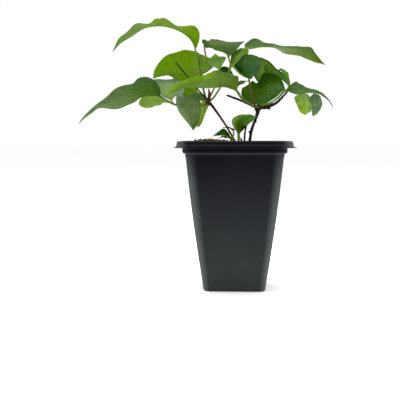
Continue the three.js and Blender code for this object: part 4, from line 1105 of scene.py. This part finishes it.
def build_limb(route, radii, paints, steps=8, sides=10, ridge=0.0, seed=0.0):
    """A round limb drawn ring by ring along its route, with ridges and knots in its bark."""
    places = route_curve(route, steps)
    count = len(places) - 1
    build = bmesh.new()
    tint = build.verts.layers.float_color.new("tint")
    side = Vector((0, 1, 0))
    made = bmesh.ops.create_circle(build, cap_ends=False, segments=sides, radius=1)
    ring = sorted(made["verts"], key=lambda vertex: math.atan2(vertex.co.y, vertex.co.x) % math.tau)
    order = [(math.cos(math.tau * k / sides), math.sin(math.tau * k / sides)) for k in range(sides)]
    for step, (centre, heading) in enumerate(places):
        t = step / count
        if step:
            edges = [
                edge for edge in build.edges
                if (step == 1 or edge.is_boundary) and all(vertex in ring for vertex in edge.verts)
            ]
            grown = bmesh.ops.extrude_edge_only(build, edges=edges)
            fresh = [item for item in grown["geom"] if isinstance(item, bmesh.types.BMVert)]
            partner = {}
            for vertex in fresh:
                for edge in vertex.link_edges:
                    other = edge.other_vert(vertex)
                    if other in ring:
                        partner[other] = vertex
            ring = [partner[vertex] for vertex in ring]
        side = (side - heading * side.dot(heading)).normalized()
        across = heading.cross(side)
        radius = radius_at(radii, t)
        end = 0.55 if step in (0, count) else 1.0
        colour = (*tone_at(paints, t), 1)
        for k, vertex in enumerate(ring):
            outward = side * order[k][0] + across * order[k][1]
            bumps = noise.fractal(centre * 0.9 + outward * 1.4 + Vector((seed, 0, 0)), 0.8, 2.0, 4)
            furrow = math.sin(3 * math.tau * k / sides + 2.2 * centre.z * 0.2 + seed)
            vertex.co = centre + outward * (radius * end + ridge * (bumps + 0.45 * furrow))
            vertex[tint] = colour
    close(build)
    return build


def radius_at(radii, t):
    place = clamp(t) * (len(radii) - 1)
    low = min(int(place), len(radii) - 2)
    return lerp(radii[low], radii[low + 1], place - low)


def tone_at(tones, t):
    return [through([tone[axis] for tone in tones], t) for axis in range(3)]


class CLEMATIS_OT_stems(bpy.types.Operator):
    """Grow the reddish stem, the rough dark stem and the thin stem"""

    bl_idname = "clematis.stems"
    bl_label = "Stems"

    def execute(self, context):
        settings = context.scene.clematis_stems
        young = bark_material("stem_red", rough=False)
        old = bark_material("stem_bark", rough=True)
        for name, limbs in STEMS.items():
            is_young = name == "stem_left"
            ridge = settings.ridge / MM * (0.25 if is_young else 1)
            whole = bmesh.new()
            whole.verts.layers.float_color.new("tint")
            for number, limb in enumerate(limbs):
                bark = settings.young if is_young else settings.old
                paints = [linear(tone) for tone in limb["tones"]] if "tones" in limb else [bark]
                grown = build_limb(
                    limb["route"], limb["radii"], paints,
                    steps=18, sides=16, ridge=ridge, seed=7.3 * number,
                )
                pour(grown, whole)
            finish_piece(name + "_bark", whole, name, [young if is_young else old])
        return {"FINISHED"}


# ---------------------------------------------------------------- leaves

ROWS, COLUMNS = 60, 18  # fine steps along a blade, and across each half of it
SWELL, EDGE_RIPPLE, LUMPS = 0.16, 0.28, 0.22  # heights on a blade of half width 10
LINE_LAG = (0.78, 0.22)  # how far along the midrib a line across starts, and its gain to the tip
WELD = 0.004  # points of a blade that are nearer than this become one
RIB_STEPS = 200  # steps along a midrib to measure its length
FOOT_STEPS, SIDE_STEPS = 12, 80  # steps of a drawn margin, round the lobe and along the side


class Blade:
    """A leaf blade's shape: a margin drawn flat, then hung on a bent midrib."""

    def __init__(self, name):
        self.leaf = {**USUAL, **BLADES[name]}
        a, b, c, d = [Vector(p) for p in self.leaf["rib"]]
        pulls = ((-5 * a + 18 * b - 9 * c + 2 * d) / 6, (2 * a - 9 * b + 18 * c - 5 * d) / 6)
        self.controls = (a, *pulls, d)
        walk = [self.rib(k / RIB_STEPS) for k in range(RIB_STEPS + 1)]
        self.length = sum((q - p).length for p, q in zip(walk, walk[1:]))
        self.seed = sum(map(ord, name)) * 0.37

    def rib(self, t):
        a, b, c, d = self.controls
        s = 1 - t
        return a * s**3 + b * (3 * s * s * t) + c * (3 * s * t * t) + d * t**3

    def frame(self, t):
        """The midrib's direction, the way to the blade's right, and its upper side."""
        a, b, c, d = self.controls
        s = 1 - t
        tangent = ((b - a) * s * s + (c - b) * (2 * s * t) + (d - c) * t * t).normalized()
        faces = self.leaf["faces"]
        looks = Vector([through([face[axis] for face in faces], t) for axis in range(3)])
        across = tangent.cross(looks).normalized()
        return tangent, across, across.cross(tangent)

    def outline(self, u):
        """A plain blade's width, as a share of its widest."""
        if u < BELLY:
            return FOOT_SHARE + (1 - FOOT_SHARE) * math.sin(math.pi / 2 * u / BELLY)
        return max(math.cos(math.pi / 2 * (u - BELLY) / (1 - BELLY)), 0) ** self.leaf["point"]

    def width(self, u, side):
        """How wide one half is, in millimetres."""
        leaf = self.leaf
        measured = leaf["right_mm" if side > 0 else "left_mm"]
        if measured:
            return max(flow(measured, u), 0)
        return leaf["half"] * self.outline(u) * (through(leaf["right"], u) if side > 0 else 1)

    def margin(self, side):
        """The flat margin of one half from the stalk round the foot's lobe to the tip."""
        leaf = self.leaf
        foot_half = self.width(0, side)
        line = []
        for k in range(FOOT_STEPS):
            lobe = leaf["lobe"] * math.sin(math.pi * k / FOOT_STEPS)
            line.append(Vector((foot_half * k / FOOT_STEPS, -lobe)))
        for k in range(SIDE_STEPS + 1):
            u = k / SIDE_STEPS
            line.append(Vector((self.width(u, side), u * self.length)))
        for _ in range(2):
            eased = [(a + 2 * b + c) / 4 for a, b, c in zip(line, line[1:], line[2:])]
            line = [line[0], *eased, line[-1]]
        return evenly(line, ROWS)

    def place(self, x, y, out):
        """Where a flat point lies in the air. `out` is 0 on the midrib and 1 on the margin."""
        leaf = self.leaf
        along = y / self.length
        t = clamp(along)
        tangent, across, normal = self.frame(t)
        fold = leaf["right_fold"] if x > 0 and leaf["right_fold"] else leaf["fold"]
        lift = math.radians(through(fold, t))
        shift = RIGHT_SHIFT if x > 0 else 0.0
        ripple = math.sin(math.tau * (WAVES * t) + shift)
        calm = math.sqrt(max(0, math.sin(math.pi * min(1, t + 0.08))))
        rise = (math.hypot(x, 1) - 1) * math.sin(lift) + leaf["wave"] * out**1.5 * ripple * calm
        return (
            self.rib(t) + tangent * (min(along, 0) * self.length)
            + across * (x * math.cos(lift)) + normal * rise
        )

    def tone(self, t, out, side):
        """The colour at a place, from the middle to the edge, painted light and shade included."""
        leaf = self.leaf
        shades = (leaf["left_tones"], None)
        if side > 0:
            shades = (leaf["right_tones"], leaf["right_rim"])
        tone = tone_at(leaf["tones"], t)
        for edge, (start, span) in zip(shades, (EDGE_TONE, RIM_TONE)):
            if edge:
                share = smooth((out - start) / span)
                tone = [lerp(a, b, share) for a, b in zip(tone, tone_at(edge, t))]
        return tone

    def relief(self, s, out, side, size, groove):
        """Grooved veins, the swell between them and a fine ripple of the margin."""
        ends = smooth(s / 0.25) * smooth((1 - s) / 0.2)
        veins = sum(
            depth * bell(out - at, width) for at, (width, depth) in zip(MAIN_VEINS, VEIN_GROOVES)
        )
        last = MAIN_VEINS[-1]
        swell = 0.5 - 0.5 * math.cos(math.tau * out / (last / 2)) if out < last else 0.3
        fine = math.sin(self.seed + 31 * s + 2 * side) * 0.5
        fine += math.sin(2 * self.seed + 53 * s + side) * 0.3
        lumps = noise.noise(Vector((12 * s, 5 * out * side, self.seed)))
        raised = ends * (swell * SWELL * size - groove * veins)
        return raised + out**4 * fine * EDGE_RIPPLE * size + lumps * LUMPS * size


def evenly(line, count):
    """The same line with `count` + 1 points at even distances."""
    marks = [0.0]
    for p, q in zip(line, line[1:]):
        marks.append(marks[-1] + (q - p).length)
    found = []
    k = 0
    for step in range(count + 1):
        want = marks[-1] * step / count
        while k < len(marks) - 2 and marks[k + 1] < want:
            k += 1
        span = max(marks[k + 1] - marks[k], 1e-9)
        found.append(line[k].lerp(line[k + 1], clamp((want - marks[k]) / span)))
    return found


def build_blade(name, groove):
    """A flat grid bent into a blade. Its lines radiate from the stalk and meet at the tip."""
    blade = Blade(name)
    leaf = blade.leaf
    size = clamp(leaf["half"] / 10, 0.3, 1.2)
    margins = {1: blade.margin(1), -1: blade.margin(-1)}
    build = bmesh.new()
    bmesh.ops.create_grid(build, x_segments=ROWS, y_segments=2 * COLUMNS, size=1)
    shape_uv = build.loops.layers.uv.new("blade")
    flat_uv = build.loops.layers.uv.new("blade_mm")
    tint = build.verts.layers.float_color.new("tint")
    spots = {}
    for vertex in build.verts:
        row = round((vertex.co.x + 1) / 2 * ROWS)
        v = round(vertex.co.y * COLUMNS) / COLUMNS
        side = 1 if v >= 0 else -1
        out = abs(v)
        edge = margins[side][row]
        s = row / ROWS
        middle = max(edge.y, 0) * (LINE_LAG[0] + LINE_LAG[1] * s * s)
        x, y = side * edge.x * out, lerp(middle, edge.y, out)
        spots[vertex] = (s, v, x, y, out, side)
    for vertex, (s, v, x, y, out, side) in spots.items():
        t = clamp(y / blade.length)
        normal = blade.frame(t)[2]
        groove_here = groove * clamp(size, 0.5, 1)
        vertex.co = blade.place(x, y, out) + normal * blade.relief(s, out, side, size, groove_here)
        vertex[tint] = (*linear(blade.tone(t, out, side)), 1)
    for face in build.faces:
        for loop in face.loops:
            s, v, x, y, out, side = spots[loop.vert]
            loop[shape_uv].uv = (s, v * 0.5 + 0.5)
            loop[flat_uv].uv = (x / 10 + blade.seed, y / 10)
    bmesh.ops.remove_doubles(build, verts=build.verts, dist=WELD)
    bmesh.ops.recalc_face_normals(build, faces=build.faces)
    middle = blade.rib(0.5)
    middle_face = min(build.faces, key=lambda face: (face.calc_center_median() - middle).length)
    if middle_face.normal.dot(blade.frame(0.5)[2]) < 0:
        bmesh.ops.reverse_faces(build, faces=build.faces)
    return build


# Places along a blade, and how thick the midrib is there.
MIDRIB = [
    (0.1, 0.5), (0.2, 0.4), (0.3, 0.34), (0.42, 0.28), (0.54, 0.23), (0.66, 0.19), (0.78, 0.15),
    (0.9, 0.1),
]


def build_stalk(stalk):
    """A stalk that runs on under its blade as the raised midrib."""
    blade = Blade(stalk["to"])
    route = list(stalk["route"])
    radii = list(stalk["radii"])
    last = radii[-1]
    for t, radius in ((0.02, last * 0.9), *MIDRIB):
        radius = min(radius, last)
        route.append(blade.rib(t) - blade.frame(t)[2] * (radius + 0.1))
        radii.append(radius)
    tones = list(stalk.get("tones", GREEN))
    towards = [lerp(a, b, 0.55) for a, b in zip(tones[-1], blade.leaf["tones"][0])]
    tones += [towards] * (len(MIDRIB) + 1)
    paints = [linear(tone) for tone in tones]
    return build_limb(route, radii, paints, steps=6, sides=10, ridge=0.03, seed=blade.seed)


class CLEMATIS_OT_leaves(bpy.types.Operator):
    """Grow the leaves and shoots, each on its own stalk"""

    bl_idname = "clematis.leaves"
    bl_label = "Leaves"

    def execute(self, context):
        settings = context.scene.clematis_leaves
        sides = [leaf_material(settings, under=False), leaf_material(settings, under=True)]
        growth = stalk_material()
        for node, stalks in SPRAYS.items():
            blades, sticks = bmesh.new(), bmesh.new()
            for name in ("blade", "blade_mm"):
                blades.loops.layers.uv.new(name)
            blades.verts.layers.float_color.new("tint")
            sticks.verts.layers.float_color.new("tint")
            for stalk in stalks:
                pour(build_blade(stalk["to"], settings.groove / MM), blades)
                pour(build_stalk(stalk), sticks)
            piece = finish_piece(node + "_blades", blades, node, sides)
            sheet = piece.modifiers.new("thickness", "SOLIDIFY")
            sheet.thickness = settings.thickness
            sheet.offset = 0
            sheet.material_offset = 1
            finish_piece(node + "_stalks", sticks, node, [growth])
        return {"FINISHED"}


# ---------------------------------------------------------------- stage

FLOOR_RADIUS = 14  # metres
# Each lamp's name, the setting that holds its power, its size, where it hangs and where it aims.
LAMPS = [
    ("overhead", "overhead", (0.9, 0.7), (-0.12, 0.28, 0.95), (0, 0, 0.15)),
    ("left", "sides", (0.35, 0.8), (-0.75, -0.1, 0.35), (0, 0, 0.12)),
    ("right", "sides", (0.35, 0.8), (0.75, -0.1, 0.35), (0, 0, 0.12)),
]
# The lens and the place are in millimetres, the tilt down and the turn to the left in degrees.
CAMERA = {"place": (0.67, -627.8, 117.6), "down": 4.475, "turn": 2.546, "lens": 72, "sensor": 36}


def add_lamp(name, power, size, place, aim):
    light = bpy.data.lights.new(name, "AREA")
    light.shape = "RECTANGLE"
    light.size, light.size_y = size
    light.energy = power
    lamp = bpy.data.objects.new(name, light)
    lamp.location = place
    lamp.rotation_euler = (Vector(aim) - Vector(place)).to_track_quat("-Z", "Y").to_euler()
    bpy.context.scene.collection.objects.link(lamp)


class CLEMATIS_OT_stage(bpy.types.Operator):
    """Lay the floor, hang the lamps and set up the camera"""

    bl_idname = "clematis.stage"
    bl_label = "Stage"

    def execute(self, context):
        settings = context.scene.clematis_stage
        build = bmesh.new()
        bmesh.ops.create_circle(build, cap_ends=True, segments=64, radius=FLOOR_RADIUS)
        floor = into_scene("floor", build, scale=1)
        paint = Recipe("floor", Roughness=0.9, Specular_IOR_Level=0.1)
        paint.shader.inputs["Base Color"].default_value = (*settings.floor, 1)
        floor.data.materials.append(paint.material)
        floor.location.z = min(SOLID_BOX[0][2], 0)

        world = bpy.data.worlds.new("studio")
        world.use_nodes = True
        surround = world.node_tree.nodes["Background"]
        surround.inputs["Color"].default_value = (1, 1, 1, 1)
        surround.inputs["Strength"].default_value = settings.sky
        context.scene.world = world
        for name, setting, size, place, aim in LAMPS:
            add_lamp(name, getattr(settings, setting), size, place, aim)

        lens = bpy.data.cameras.new("camera")
        lens.sensor_width = CAMERA["sensor"]
        lens.lens = CAMERA["lens"]
        lens.clip_start = 0.01
        camera = bpy.data.objects.new("camera", lens)
        camera.location = [c * MM for c in CAMERA["place"]]
        camera.rotation_euler = (math.radians(90 - CAMERA["down"]), 0, math.radians(CAMERA["turn"]))
        context.scene.collection.objects.link(camera)
        context.scene.camera = camera
        context.scene.view_settings.view_transform = "Standard"
        return {"FINISHED"}


# ---------------------------------------------------------------- panel and registration


class CLEMATIS_PT_panel(bpy.types.Panel):
    """Lists the steps that build the plant and the settings that they read"""

    bl_idname = "CLEMATIS_PT_panel"
    bl_label = "Potted clematis"
    bl_space_type = "VIEW_3D"
    bl_region_type = "UI"
    bl_category = "Clematis"

    def draw(self, context):
        for step in SETTINGS:
            box = self.layout.box()
            settings = getattr(context.scene, "clematis_" + step)
            for key in settings.__annotations__:
                box.prop(settings, key)
            box.operator("clematis." + step)


# The steps in their order, each with its settings.
SETTINGS = {
    "pot": PotSettings, "soil": SoilSettings, "stems": StemSettings, "leaves": LeafSettings,
    "stage": StageSettings,
}
OPERATORS = (
    CLEMATIS_OT_pot, CLEMATIS_OT_soil, CLEMATIS_OT_stems, CLEMATIS_OT_leaves, CLEMATIS_OT_stage,
)


def register():
    for kind in (*SETTINGS.values(), *OPERATORS, CLEMATIS_PT_panel):
        bpy.utils.register_class(kind)
    for step, kind in SETTINGS.items():
        setattr(bpy.types.Scene, "clematis_" + step, PointerProperty(type=kind))


def unregister():
    for step in SETTINGS:
        delattr(bpy.types.Scene, "clematis_" + step)
    for kind in (CLEMATIS_PT_panel, *reversed(OPERATORS), *SETTINGS.values()):
        bpy.utils.unregister_class(kind)


def main():
    register()
    for step in SETTINGS:
        getattr(bpy.ops.clematis, step)()


if __name__ == "__main__":
    main()
